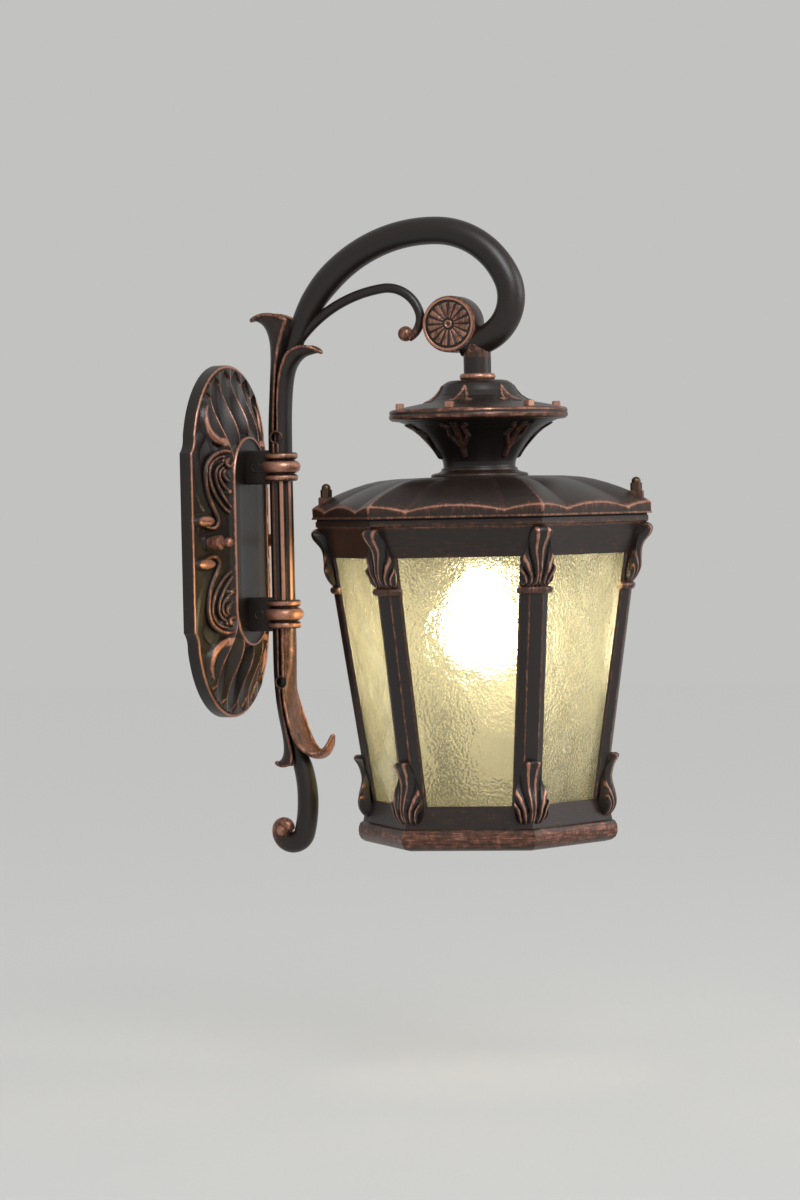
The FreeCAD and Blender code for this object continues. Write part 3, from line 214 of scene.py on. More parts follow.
def shield(half, top, shoulder, step, rise):
    """A quarter of a shield, from its side's middle to its top, at even steps along its edge.

    A straight side, then a small hollow shoulder, then a round end.
    """
    side, spring = half - step, shoulder + rise
    arch = top - spring
    end = (side * side + arch * arch) / (2 * arch)
    lean = math.asin(side / end)
    dip = 0.16 * rise * np.sin(np.pi * EVEN)
    across = np.concatenate([
        np.full(len(EVEN), half), half - step * EVEN - dip * 0.9, end * np.sin(lean * (1 - EVEN))])
    up = np.concatenate([
        shoulder * EVEN, shoulder + rise * EVEN - dip * 0.45, top - end + end * np.cos(lean * (1 - EVEN))])
    run = np.concatenate([[0.0], np.cumsum(np.hypot(np.diff(across), np.diff(up)))])
    at = np.linspace(0.0, run[-1], QUARTER + 1)
    return np.stack([np.interp(at, run, across), np.interp(at, run, up)], -1)


def around(quarter):
    """The whole outline from a quarter of it, closed."""
    back = quarter[::-1]
    return np.concatenate([quarter, (back * (-1, 1))[1:], (quarter * (-1, -1))[1:], (back * (1, -1))[1:]])


def plate_edge(inset):
    """The outline of the plate, drawn in by an inset."""
    return around(shield(PLATE_HALF - inset, PLATE_TOP - inset, SHOULDER, SHOULDER_STEP, SHOULDER_RISE))


def boss_edge(inset):
    """The outline of the boss, drawn in by an inset: straight sides and plain round ends."""
    half, top = BOSS_HALF - inset, BOSS_TOP - inset
    return around(shield(half, top, top - half * 1.08, 0.0, half * 0.03))


def raised(place, start, heading, arcs, half_width, height):
    """Height of a rounded ridge along arcs.

    It is full on the path, nothing at half its width away, and thinner at both ends.
    """
    path = bend(start, heading, arcs, 16)[0]
    apart = np.hypot(place[:, None, 0] - path[:, 0], place[:, None, 1] - path[:, 1])
    nearest = apart.argmin(1)
    swell = 0.5 + 0.5 * np.sin(np.pi * (0.1 + 0.8 * nearest / (len(path) - 1)))
    away = apart.min(1) / (half_width * swell)
    return height * swell * np.sqrt(np.clip(1 - away * away, 0.0, 1.0))


def bump_at(place, centre, across, up, height):
    """Height of an egg-shaped bump."""
    away = ((place[:, 0] - centre[0]) / across) ** 2 + ((place[:, 1] - centre[1]) / up) ** 2
    return height * np.sqrt(np.clip(1 - away, 0.0, 1.0))


STEM = ((-60.0, 13.5), (-54.0, 11.0), (-48.0, 11.4), (-44.6, 16.5), (-47.7, 22.8), (-52.6, 30.7),
        (-56.2, 38.6), (-57.8, 46.4), (-58.6, 54.2), (-55.8, 62.2), (-50.0, 67.8), (-43.1, 71.0),
        (-36.6, 71.6), (-31.2, 69.6), (-29.4, 65.5), (-30.0, 61.0), (-33.4, 58.8), (-37.0, 60.6),
        (-37.4, 64.2), (-34.2, 65.4))
STRANDS = (
    ((-38.6, 67.1), (-43.2, 66.7), (-49.3, 63.6), (-53.2, 57.5), (-53.8, 50.3), (-50.5, 41.1), (-45.0, 32.9),
     (-38.9, 25.9), (-34.2, 22.8)),
    ((-39.9, 61.9), (-44.6, 59.3), (-47.4, 53.5), (-46.2, 46.9), (-42.7, 39.7), (-38.0, 32.8), (-33.4, 27.1)),
    ((-39.1, 58.6), (-42.6, 56.0), (-43.8, 51.5), (-41.3, 46.5), (-37.7, 42.2), (-34.3, 39.8)),
    ((-37.7, 56.9), (-39.8, 54.0), (-38.4, 50.4), (-34.4, 47.4)),
)
STEM_HALF, STRAND_HALF = 2.2, 1.6
SCROLL_LIFT = 1.5
HORN = ((-29.0, 76.0), 282.0, ((45.0, 22.0), (16.0, 100.0)), 4.4, 5.0)
SCROLL_BAND = ((-54.0, 24.0), 324.0, ((72.0, 36.0), (17.0, 70.0)), 6.5, 1.8)
BUD = ((-60.0, 16.8), 12.5, 5.2, 4.8)
EYES = (((-36.5, 63.5), 3.0, 3.0, 4.4), ((-34.5, 39.5), 2.4, 2.4, 3.4))
NUT_SEAT, SEAT_RADIUS, SEAT_LEVEL = 56.0, 6.4, 13.3
FAN_RIBS, CREST, CREST_RISE, SPANDREL, SINK = 2.9, 11.0, 15.6, 11.4, 1.2


def field_slope(share):
    """Depth of the plain field at a share of the way from its lip to the boss: a hollow slope."""
    return RIM - LIP_HEIGHT + (BOSS_FOOT - RIM + LIP_HEIGHT) * share ** HOLLOW


def plate_relief(x, z, share, along):
    """Depth of the carved field over the wall and its rub.

    They follow from a point's place, its share of the way from lip to boss and its share of the way along
    the quarter from side to top. A hollow slope rises to the boss. The fan's ribs stand at whole numbers of
    a count that spreads towards the boss, with hollow flutes between them that end in pointed arches. The
    broad forms of the scrolls are ridges along arcs and egg-shaped bumps.
    """
    slope = field_slope(share)
    count = (1 - along) / (0.118 + 0.07 * share)
    off = np.abs(count - np.round(count))
    inside = smooth((FAN_RIBS + 0.1 - count) / 0.3)
    flute = (1 - 2 * off) ** 1.7 * inside
    crest = CREST + CREST_RISE * smooth((share - 0.1) / 0.85)
    arch = 0.03 + 0.16 * (1 - 2 * off) ** 1.2
    spandrel = smooth((arch - share) / 0.025) * inside
    sunk = SINK * np.sin(np.pi * share)
    fan = slope - inside * sunk + (crest - slope + sunk) * flute
    fan = fan + (np.maximum(SPANDREL, fan) - fan) * spandrel
    edge = smooth((flute - 0.78) / 0.2)
    edge = np.maximum(edge, smooth((0.02 - np.abs(arch - share)) / 0.012) * inside * 0.8)
    place = np.stack([-np.abs(x).ravel(), np.abs(z).ravel()], -1)
    horn = raised(place, *HORN)
    bud = bump_at(place, *BUD)
    eye = np.maximum(*[bump_at(place, *one) for one in EYES])
    lift = np.maximum(np.maximum(raised(place, *SCROLL_BAND), horn), np.maximum(bud, eye)).reshape(x.shape)
    ridge = np.maximum(np.maximum(horn, bud) * 0.8, eye).reshape(x.shape)
    depth = np.maximum(fan, slope + lift)
    seat = np.hypot(np.abs(x) - NUT_SEAT, z) < SEAT_RADIUS
    depth = np.where(seat, np.maximum(depth, SEAT_LEVEL), depth)
    rub = np.maximum(edge, smooth((ridge - 1.5) / 1.6)) * 0.85 + 0.06
    return np.minimum(depth, BOSS_FACE - 0.3), rub


# Rings of the plate's rim and of the boss: inset, depth and rub.
PLATE_RINGS = ((0.0, 0.0, 0.05), (0.0, 4.5, 0.1), (0.0, 8.6, 0.25), (0.3, 9.6, 0.95), (0.9, RIM, 1.0),
               (2.2, RIM, 0.95), (2.8, 9.5, 0.7))
BOSS_RINGS = ((-0.4, 24.5, 0.2), (0.0, 26.3, 0.9), (0.5, BOSS_FACE, 1.0), (1.5, BOSS_FACE, 0.9),
              (BOSS_LIP, 26.2, 0.3), (2.3, BOSS_FLOOR, 0.0), (12.0, BOSS_FLOOR, 0.0))


def plate_grid():
    """The plate's skin as rings.

    They run from its back edge over the rim, the field and the boss, and back along the hollow inside.
    """
    quarter = np.linspace(0.0, 1.0, QUARTER + 1)
    along = np.concatenate([quarter, quarter[::-1][1:], quarter[1:], quarter[::-1][1:]])
    share = np.linspace(0.0, 1.0, FIELD_ROWS)[:, None]
    flat = plate_edge(LIP) * (1 - share[:, :, None]) + boss_edge(-BOSS_FLARE) * share[:, :, None]
    depth, worn = plate_relief(flat[:, :, 0], flat[:, :, 1], share, along)
    spine = boss_edge(BOSS_HALF - 1.0) * (0.0, 1.0)
    rings = [(plate_edge(inset), far, rub) for inset, far, rub in PLATE_RINGS]
    rings += list(zip(flat, depth, worn))
    rings += [(boss_edge(inset), far, rub) for inset, far, rub in BOSS_RINGS]
    rings += [(spine, BOSS_FLOOR, 0.0), (spine, BOSS_INSIDE, 0.0), (boss_edge(WALL), BOSS_INSIDE, 0.0)]
    for part in (1.0, 0.8, 0.6, 0.4, 0.2, 0.0):
        inner = plate_edge(WALL) * (1 - part) + boss_edge(WALL) * part
        rings.append((inner, INNER_EDGE + INNER_RISE * part ** HOLLOW, 0.0))
    rings += [(plate_edge(WALL), 0.0, 0.0), (plate_edge(0.0), 0.0, 0.0)]
    outline = np.stack([ring[0] for ring in rings])
    depths, rubs = [np.stack([np.broadcast_to(ring[i], len(along)) for ring in rings]) for i in (1, 2)]
    return np.stack([outline[:, :, 0], depths, outline[:, :, 1]], -1), rubs


def capped(grid):
    """A grid of closed rings with both its ends drawn in to a point."""
    first = np.broadcast_to(grid[0].mean(0), grid[0].shape)
    last = np.broadcast_to(grid[-1].mean(0), grid[-1].shape)
    return np.concatenate([first[None], grid, last[None]])


def to_ends(rows):
    """Rows of values with the first and last repeated, for the points that close the ends."""
    return np.concatenate([rows[:1], rows, rows[-1:]])


def cord(path, radius):
    """A round cord along a line in space, with a radius at each point.

    Its rings stand square to the line. With it comes how far each of its points faces out from the wall.
    """
    along = np.gradient(path, axis=0)
    along = along / np.linalg.norm(along, axis=1, keepdims=True)
    first = np.cross(along, (0.35, 0.9, 0.25))
    first = first / np.linalg.norm(first, axis=1, keepdims=True)
    second = np.cross(along, first)
    turn = np.linspace(0.0, 2 * np.pi, 13)[None, :, None]
    round_it = first[:, None] * np.cos(turn) + second[:, None] * np.sin(turn)
    grid = path[:, None] + np.broadcast_to(radius, len(path))[:, None, None] * round_it
    return capped(grid), to_ends(round_it[:, :, 1])


def carved_scrolls():
    """The stems of the four C-scrolls and the strands of the leaf inside each.

    They are cords half sunk in the field, thinner at both ends, rubbed on their crests.
    """
    cords = []
    way = PLATE_HALF - LIP - BOSS_HALF - BOSS_FLARE
    for points, half_width in [(STEM, STEM_HALF)] + [(strand, STRAND_HALF) for strand in STRANDS]:
        line = eased(points, 9 * len(points))
        share = np.clip((PLATE_HALF - LIP + line[:, 0]) / way, 0.0, 1.0)
        radius = half_width * (0.6 + 0.4 * np.sin(np.pi * np.linspace(0.1, 0.9, len(line))))
        path = np.stack([line[:, 0], field_slope(share) + SCROLL_LIFT, line[:, 1]], -1)
        for mirror in ((1, 1, 1), (-1, 1, 1), (1, 1, -1), (-1, 1, -1)):
            grid, facing = cord(path * mirror, radius)
            cords.append((grid, 0.05 + 0.68 * smooth((facing - 0.2) / 0.7)))
    return cords


plate = cast("wall_plate_carved", [plate_grid()] + carved_scrolls(), casting, "wall_plate", sharp=50.0)

# Finial nuts: two small nuts, turned from aluminium, screwed on the strap's studs to hold the plate.
# They are painted like the plate and coppered all over by hand.

copper_all_over = rubbed_casting("copper-rubbed casting", 0.75)


def finish(node, material):
    """Gives a machined node, shown as it is, its material."""
    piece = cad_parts[node]
    piece.data.materials.clear()
    piece.data.materials.append(material)


finish("plate_knobs", copper_all_over)

# Arm post: one aluminium casting bolted to the boss through two lugs.
# A fluted shaft runs between two moulded collars. Above and below them a sheath of two leaves splits open
# and curls outwards, and a scroll hangs from the lower one.

POST_AT, POST_RADIUS = 53.0, 9.3
SHAFT_HALF, SHAFT_ROWS, FLUTES, FLUTE_DEEP = 49.0, 60, 8, 1.1
COLLAR_AT, COLLAR_HALF, COLLAR_NECK, COLLAR_BORE = 58.25, 11.5, 11.0, 5.0
TORUS_RISE, TORUS_HALF = 4.6, 4.9
BEAD_RISE, BEAD_HALF, BEAD_OFF = 2.6, 2.9, 8.6
LUG_HALF_WIDE, LUG_HALF_HIGH, LUG_END = 7.0, 13.5, 48.0
SCREW_AT, SCREW_RADIUS, SCREW_BEAD = 34.5, 3.6, 0.5
SHEATH, SHEATH_SIDE, LEDGE = 1.8, 8.9, 65.75
HOLES, HOLE_RADIUS, HOLE_BEAD = (81.5, -112.0), 4.75, 0.9
CIRCLE = np.linspace(0.0, 2 * np.pi, 73)


def turned(profile, depth, angles=CIRCLE, swell=0.0):
    """A profile of (radius, height) turned about an upright axis at a depth.

    A swell is added to the radius.
    """
    profile = np.asarray(profile, float)
    radius = profile[:, :1] + swell
    return np.stack([radius * np.sin(angles), depth + radius * np.cos(angles),
                     np.broadcast_to(profile[:, 1:], radius.shape[:1] + angles.shape)], -1)


def bar(path, headings, radii, angles=CIRCLE):
    """A round bar along a path in the plane of the arm, with a radius at each point."""
    aside = np.stack([np.cos(headings), -np.sin(headings)], -1)
    radii = np.broadcast_to(radii, headings.shape)[:, None]
    x = radii * np.cos(angles)
    out = radii * np.sin(angles)
    return np.stack([x, path[:, :1] + aside[:, :1] * out, path[:, 1:] + aside[:, 1:] * out], -1)


def ball(centre, radius):
    """A ball from circles of latitude."""
    lift = np.linspace(-np.pi / 2, np.pi / 2, 25)
    profile = np.stack([radius * np.cos(lift), centre[2] + radius * np.sin(lift)], -1)
    return turned(profile, centre[1], CIRCLE[::2]) + (centre[0], 0.0, 0.0)


def collar(middle):
    """Profile of a collar: a torus between two beads, with deep grooves between them."""
    off = np.linspace(-COLLAR_HALF, COLLAR_HALF, 101)
    beside = (np.abs(off) - BEAD_OFF) / BEAD_HALF
    torus = COLLAR_NECK + TORUS_RISE * np.sqrt(np.clip(1 - (off / TORUS_HALF) ** 2, 0, None))
    bead = COLLAR_NECK + BEAD_RISE * np.sqrt(np.clip(1 - beside ** 2, 0, None))
    radius = np.maximum(torus, bead)
    radius[[0, -1]] = COLLAR_BORE
    return np.stack([radius, middle + off], -1), smooth((radius - 12.2) / 1.6)[:, None]


def shaft():
    """The post between the collars: round flutes that run out just before the collars."""
    z = np.linspace(-SHAFT_HALF, SHAFT_HALF, SHAFT_ROWS)
    angles = np.linspace(0.0, 2 * np.pi, 193)
    wave = np.cos(FLUTES * angles)
    flute = np.clip(wave, 0.0, 1.0) * FLUTE_DEEP * smooth((SHAFT_HALF - 1.0 - np.abs(z)) / 6.0)[:, None]
    profile = np.stack([np.full(SHAFT_ROWS, POST_RADIUS), z], -1)
    rub = 0.9 * smooth((-wave - 0.1) / 0.4) * np.ones((SHAFT_ROWS, 1)) + 0.08
    return capped(turned(profile, POST_AT, angles, -flute)), to_ends(rub)


def sheath_leaf(back, side, widths, lift, lip, worn):
    """A leaf of the sheath and the lip round its edge.

    The leaf is a half round drawn between the line of its back and the line of its two edges, which stand
    the given widths to left and right. Its end edge is lifted in the middle, and its face is rubbed to copper
    by a given amount, which on the spoon leaf is also painted light from the lantern. The lip is a cord that
    thickens towards the end.
    """
    rows = 90
    back, side = eased(back, rows)[:, None], eased(side, rows)[:, None]
    share = np.linspace(0.0, 1.0, rows)[:, None]
    half = np.interp(share, np.linspace(0.0, 1.0, len(widths)), widths)
    turn = np.linspace(-np.pi / 2, np.pi / 2, 41)
    bulge = np.cos(turn)
    thick = (SHEATH + 0.8 * smooth((share - 0.6) / 0.3)) * np.minimum(bulge * 2.5, 1.0)
    deep = np.linalg.norm(back - side, axis=2)
    crown = lift * smooth((share - 0.72) / 0.28) * 4 * bulge * (1 - bulge)
    sheets = []
    for inset in (0.0, 1.0):
        x = (half - inset * np.minimum(thick, half * 0.6)) * np.sin(turn)
        reach = bulge * (1 - inset * np.minimum(thick / np.maximum(deep, 0.1), 0.7))
        flat = side + (back - side) * reach[:, :, None]
        sheets.append(np.stack([x, flat[:, :, 0], flat[:, :, 1] + crown], -1))
    skin = np.concatenate([sheets[0], sheets[1][::-1], sheets[0][:1]])
    for level in HOLES:
        hole = np.hypot(skin[:, :, 1] - POST_AT, skin[:, :, 2] - level) < HOLE_RADIUS
        skin[:, :, 0] = np.where(hole, np.clip(skin[:, :, 0], -4.0, 4.0), skin[:, :, 0])
    edge = np.concatenate([skin[:rows, 0], skin[rows - 1], skin[rows - 1::-1, -1]])
    # Copper on the face; on the spoon leaf it is also painted light, the lantern's golden glow.
    rub = worn + 0.3 * smooth((share - 0.7) / 0.25) * np.ones(41)
    rub = np.concatenate([rub, rub[::-1], rub[:1]])
    grown = np.concatenate([share[:, 0], np.ones(41), share[::-1, 0]])
    return (skin, rub), (cord(edge, lip * (0.6 + 0.4 * smooth((grown - 0.5) / 0.4)))[0], 0.72)


def soft_square(power, count):
    """A square from -1 to 1 with rounded corners: a cosine and a sine raised to a small power."""
    turn = np.linspace(0.0, 2 * np.pi, count)
    return [np.sign(wave) * np.abs(wave) ** power for wave in (np.cos(turn), np.sin(turn))]


def block(half_x, near, far, low, high):
    """A rounded bar of rectangular section that runs out from the wall."""
    across, up = soft_square(0.16, 65)
    depths = np.linspace(near, far, 4)[:, None]
    level = (low + high) / 2 + up * (high - low) / 2
    return capped(np.stack(np.broadcast_arrays(across * half_x, depths, level), -1))


def ring_on_side(side, depth, height, radius, thick, level):
    """A bead round a hole or screw in a side face: a small circle carried round a larger one."""
    turn, tube = np.meshgrid(CIRCLE, np.linspace(0.0, 2 * np.pi, 17), indexing="ij")
    far = radius + thick * np.cos(tube)
    x = side * (level + thick * np.sin(tube))
    return np.stack([x, depth + far * np.sin(turn), height + far * np.cos(turn)], -1)


NEAR, FAR = POST_AT - POST_RADIUS, POST_AT + POST_RADIUS
# The leaves: line of the back, line of the edges, half widths, lift of the end, lip and wear.
# Two above, towards the wall and outwards, then the same below. The last one ends in a spoon; its high wear
# is partly real copper rub and partly painted light, the lantern's golden glow on the spoon's face.
SHEATH_LEAVES = (
    (((NEAR, LEDGE), (43.9, 90.0), (46.0, 121.0), (47.6, 146.0), (46.4, 160.0), (42.0, 169.5),
      (36.5, 173.5), (30.8, 174.6)),
     ((50.8, LEDGE), (50.6, 90.0), (51.8, 115.0), (53.8, 138.0), (57.0, 154.0), (60.8, 166.0),
      (64.0, 173.5)),
     (9.1, 9.1, 9.1, 9.3, 9.8, 10.0), 4.5, 1.5, 0.08),
    (((FAR, LEDGE), (62.5, 90.0), (63.3, 110.0), (65.2, 128.0), (68.5, 138.5), (75.5, 144.5),
      (83.0, 146.5), (89.5, 147.5)),
     ((54.6, LEDGE), (54.4, 90.0), (54.8, 112.0), (57.2, 130.0), (60.4, 140.0), (63.5, 146.5)),
     (9.1, 9.1, 9.1, 9.3, 9.8, 9.6), 5.5, 1.3, 0.08),
    (((NEAR, -LEDGE), (43.6, -104.0), (45.5, -132.0), (50.5, -156.0), (50.8, -167.0), (48.5, -173.5),
      (43.6, -176.0)),
     ((50.6, -LEDGE), (50.4, -104.0), (51.2, -121.6), (54.2, -142.4), (59.0, -163.0), (60.2, -172.0),
      (58.6, -176.6)),
     (9.1, 9.1, 9.1, 8.8, 8.6, 8.0), -2.0, 1.2, 0.08),
    # The spoon leaf: its wear of 0.58 is partly copper rub and partly painted light from the lantern.
    (((FAR, -LEDGE), (62.2, -95.0), (60.0, -121.0), (60.4, -142.0), (63.0, -157.0), (70.0, -168.5),
      (79.0, -173.8), (87.0, -172.0), (92.5, -164.0), (92.4, -155.0)),
     ((54.6, -LEDGE), (54.4, -95.0), (56.0, -121.0), (61.3, -142.0), (67.0, -158.5), (75.0, -168.0),
      (83.5, -169.0), (89.5, -163.5), (92.0, -155.0)),
     (9.1, 9.1, 9.3, 11.0, 13.5, 16.0, 17.6, 17.6, 14.5, 9.0, 1.5), 0.0, 1.6, 0.58),
)
SCROLL_START, SCROLL_HEADING, SCROLL_STEPS = (57.0, -148.0), 163.0, 30
SCROLL_BAR = ((2000.0, 0.895), (100.0, 30.8), (11.2, 75.3), (9.6, 100.0), (3.2, 170.0))
SCROLL_AT = (0.0, 0.4, 1.0, 1.5, 2.5, 3.0, 4.0, 5.0)
SCROLL_RADII = (4.0, 5.0, 7.5, 8.3, 8.4, 8.2, 7.0, 5.0)
BUTTON_AT, BUTTON_OFF, BUTTON_RADIUS = (49.6, -229.6), 6.4, 4.4
CORE = ((2.0, -146.0), (5.0, -128.0), (7.0, -104.0), (7.0, -62.0), (8.0, 62.0), (8.0, 77.0))
post = [shaft()]
for end in (-1, 1):
    middle = end * COLLAR_AT
    profile, rub = collar(middle)
    post.append((capped(turned(profile, POST_AT)), to_ends(rub) * 0.8 + 0.12))
    lug = block(LUG_HALF_WIDE, BOSS_FLOOR, LUG_END, middle - LUG_HALF_HIGH, middle + LUG_HALF_HIGH)
    post.append((lug, 0.03))
    for side in (-1, 1):
        screw = ring_on_side(side, SCREW_AT, middle, SCREW_RADIUS, SCREW_BEAD, LUG_HALF_WIDE)
        post.append((screw, 0.25))
for level in HOLES:
    for side in (-1, 1):
        post.append((ring_on_side(side, POST_AT, level, HOLE_RADIUS, HOLE_BEAD, SHEATH_SIDE), 0.5))
for leaf in SHEATH_LEAVES:
    post += sheath_leaf(*leaf)
tail, headings = bend(SCROLL_START, SCROLL_HEADING, SCROLL_BAR, SCROLL_STEPS)
tail_radii = np.interp(np.arange(len(tail)) / SCROLL_STEPS, SCROLL_AT, SCROLL_RADII)
tail_rub = (0.1 + 0.6 * smooth((np.arange(len(tail) + 2) / len(tail) - 0.55) / 0.25))[:, None]
post.append((capped(bar(tail, headings, tail_radii)), tail_rub))
for side in (-1, 1):
    post.append((ball((side * BUTTON_OFF, *BUTTON_AT), BUTTON_RADIUS), 0.8))
post.append((capped(turned(CORE, POST_AT)), 0.0))
post = cast("arm_post_cast", post, casting, "arm_post")

# Arch: a stout cast aluminium bar that springs from the upper sheath and hooks back under itself.
# It ends in a round drum with a socket for the pipe below. A thin branch leaves it low down and ends in
# a small curl.

ARCH_FOOT, ARCH_STEPS = (POST_AT, 76.7), 40
ARCH = ((224.0, 24.1), (120.0, 69.6), (66.3, 61.8), (35.0, 122.0))
ARCH_AT, ARCH_RADII = (0.0, 0.5, 1.0, 1.145, 1.29), (4.5, 4.6, 8.0, 9.8, 10.8)
BRANCH = ((110.6, 42.6), (28.5, 76.5), (16.4, 85.0))
BRANCH_BACK, BRANCH_HEADING = (1.085, 9.77), 41.0
BRANCH_AT, BRANCH_RADII = (0, 20, 121), (4.4, 3.9, 3.4)
CURL_IN, CURL_RADIUS = 3.0, 6.0
DRUM_AT, DRUM_RADIUS, DRUM_HALF = (201.0, 165.5), 22.0, 11.0
DRUM = ((20.6, -DRUM_HALF), (21.6, -10.7), (DRUM_RADIUS, -9.6), (DRUM_RADIUS, 9.6), (21.6, 10.7),
        (20.6, DRUM_HALF))
DRUM_RUB = (0.6, 0.9, 0.8, 0.5, 0.5, 0.8, 0.9, 0.6)
AXIS, SOCKET, SOCKET_HIGH, SOCKET_RADIUS = 220.0, 139.2, 14.0, 10.7

path, headings = bend(ARCH_FOOT, 0.0, ARCH, ARCH_STEPS)
station = np.arange(len(path) + 2) / ARCH_STEPS
radii = np.interp(station[:-2], ARCH_AT, ARCH_RADII)
arch_rub = (0.05 + 0.1 * smooth(station - 2.5))[:, None]
edge_on = smooth((np.abs(np.sin(CIRCLE)) - 0.9) / 0.1) * 0.28
arch = [(capped(bar(path, headings, radii)), arch_rub + edge_on)]
fork = bend(ARCH_FOOT, 0.0, ARCH[:1], ARCH_STEPS)[0][-1]
twig, twig_headings = bend(fork - BRANCH_BACK, BRANCH_HEADING, BRANCH, ARCH_STEPS)
twig_radii = np.interp(np.arange(len(twig)), BRANCH_AT, BRANCH_RADII)
twig_rub = (0.12 + 0.5 * smooth((np.arange(len(twig) + 2) / len(twig) - 0.7) / 0.25))[:, None]
arch.append((capped(bar(twig, twig_headings, twig_radii)), twig_rub))
arch.append((ball((0.0, twig[-1][0] - CURL_IN, twig[-1][1] + CURL_IN), CURL_RADIUS), 0.7))


def lying(profile, centre):
    """A profile of (radius, x) turned about an axis along x."""
    profile = np.asarray(profile, float)
    radius = profile[:, :1]
    x = np.broadcast_to(profile[:, 1:], (len(profile), len(CIRCLE)))
    return np.stack([x, centre[0] + radius * np.sin(CIRCLE), centre[1] + radius * np.cos(CIRCLE)], -1)


arch.append((capped(lying(DRUM, DRUM_AT)), np.array(DRUM_RUB)[:, None] * 0.8))
socket_profile = [(SOCKET_RADIUS, SOCKET), (SOCKET_RADIUS, SOCKET + SOCKET_HIGH)]
arch.append((capped(turned(socket_profile, AXIS)), 0.5))
arch.append((ring_on_side(-1, AXIS, 146.0, 3.0, 0.6, 10.3), 0.6))
arch = cast("arm_arch_cast", arch, casting, "arm_arch")

# Rosettes: two small aluminium castings, one set on each face of the drum.
# Hollow petals lie between a raised rim and a button, and most of their paint is rubbed to copper.

ROSETTE_RADIUS, ROSETTE_THICK, PETALS = 20.5, 2.0, 16


def rosette(side):
    """A fluted rosette: hollow petals with thin ribs between them, inside a raised rim, round a button.

    The face stands out along x as a function of the distance from the middle and the angle.
    """
    angles = np.linspace(0.0, 2 * np.pi, PETALS * 14 + 1)
    far = np.concatenate([np.linspace(0.0, 0.2, 12), np.linspace(0.21, 1.0, 46)])[:, None]
    rib = np.abs(np.sin(PETALS / 2 * angles))
    groove = np.clip((1 - rib) * 3.2 * (far + 0.12) / 0.6 - 0.2, 0.0, 1.0)
    end = 0.86 - 0.07 * (1 - rib) ** 2
    petal = smooth((far - 0.2) / 0.06) * smooth((end - far) / 0.05)
    level = 0.75 + petal * (0.35 + 0.75 * np.sqrt(np.clip(rib, 0, 1)) * np.clip(far, 0.3, 1) - 0.25 * groove)
    rim = smooth((far - 0.89) / 0.03)
    button = smooth((0.17 - far) / 0.03) * (0.6 + 0.4 * smooth((far - 0.07) / 0.03))
    level = np.maximum(level, np.maximum(rim * 1.9, button * 1.8))
    worn = petal * smooth((rib - 0.25) / 0.4) * 0.75
    rub = np.maximum(worn, np.maximum(rim, button * 0.9)) * np.ones_like(level)
    radius = far * ROSETTE_RADIUS * np.ones_like(level)
    radius = np.concatenate([radius, radius[-1:], radius[:1]])
    level = np.concatenate([level, np.zeros_like(level[:1]), np.zeros_like(level[:1])])
    rub = np.concatenate([rub, rub[-1:], rub[-1:]])
    x = side * (DRUM_HALF + np.minimum(level, ROSETTE_THICK))
    return np.stack([x, DRUM_AT[0] + radius * np.sin(angles), DRUM_AT[1] + radius * np.cos(angles)], -1), rub


for side, node in ((-1, "rosette_left"), (1, "rosette_right")):
    piece = cast(node + "_fluted", [rosette(side)], casting, node, sharp=60.0)

# Drop pipe and ring: a short aluminium pipe screwed up into the arch's socket, and the bead ring under it.
# The pipe's paint is half rubbed through, and the ring is copper all over.

RING_RADIUS, RING_BEAD, RING_AT, RING_HALF = 11.5, 2.5, 124.2, 2.65
finish("drop_pipe", rubbed_casting("half-rubbed casting", 0.22))
ring_turn = np.linspace(-0.5 * np.pi, 0.5 * np.pi, 25)
ring_profile = np.stack([
    RING_RADIUS + RING_BEAD * np.cos(ring_turn), RING_AT + RING_HALF * np.sin(ring_turn)], -1)
ring = cast("pipe_ring_bead", [(capped(turned(ring_profile, AXIS)), 0.9)], casting, "pipe_ring")

# Crown: a domed dish over a trumpet, two thin aluminium castings threaded on one rod.
# Six motifs stand round each: square tabs at the dish's rim, arches on its dome, lilies on the trumpet.

MOTIF = math.radians(29.0)
ROUND = np.linspace(0.0, 2 * np.pi, 361)
TO_MOTIF = (ROUND - MOTIF + np.pi / 6) % (np.pi / 3) - np.pi / 6
DOME = ((6.0, 121.5), (20.5, 121.5), (23.3, 120.9), (26.4, 119.0), (28.0, 116.6), (29.7, 113.4),
        (33.0, 109.4), (37.5, 106.3), (42.5, 104.4), (49.0, 103.2), (58.0, 101.4), (65.0, 99.9),
        (67.2, 99.6), (68.9, 98.6), (69.4, 97.0), (68.8, 95.8), (69.6, 94.4), (69.2, 92.4), (67.2, 90.9),
        (64.0, 90.5))
DOME_RUB = (0.1, 0.15, 0.35, 0.2, 0.1, 0.1, 0.1, 0.15, 0.25, 0.2, 0.2, 0.35, 0.55, 0.7, 0.6, 0.2, 0.6, 0.65,
            0.45, 0.2)
DISH_UNDER = ((56.0, 90.5), (56.0, 95.0), (38.0, 101.5), (26.0, 110.0), (20.0, 118.0), (6.0, 118.0))
# Strokes of a motif: both ends, half width and strength.
ARCHES = ((((0.0, 116.5), (5.0, 106.0)), 1.5, 1.0), (((5.0, 106.2), (8.5, 105.6)), 1.3, 1.0),
          (((0.0, 110.5), (2.2, 105.5)), 1.1, 0.7))
ARCHES_OUT, ARCHES_UP, ARCHES_WITHIN = 1.1, 0.5, 50.0
TAB_AT, TAB_HALF, TAB_LOW, TAB_HIGH = 61.5, 3.0, 98.5, 104.4


def denser(profile, values, count):
    """A profile at even steps along itself, with the values that go with its points."""
    profile = np.asarray(profile, float)
    run = np.concatenate([[0.0], np.cumsum(np.hypot(*np.diff(profile, axis=0).T))])
    at = np.linspace(0.0, run[-1], count)
    points = np.stack([np.interp(at, run, column) for column in profile.T], -1)
    return points, np.interp(at, run, values)


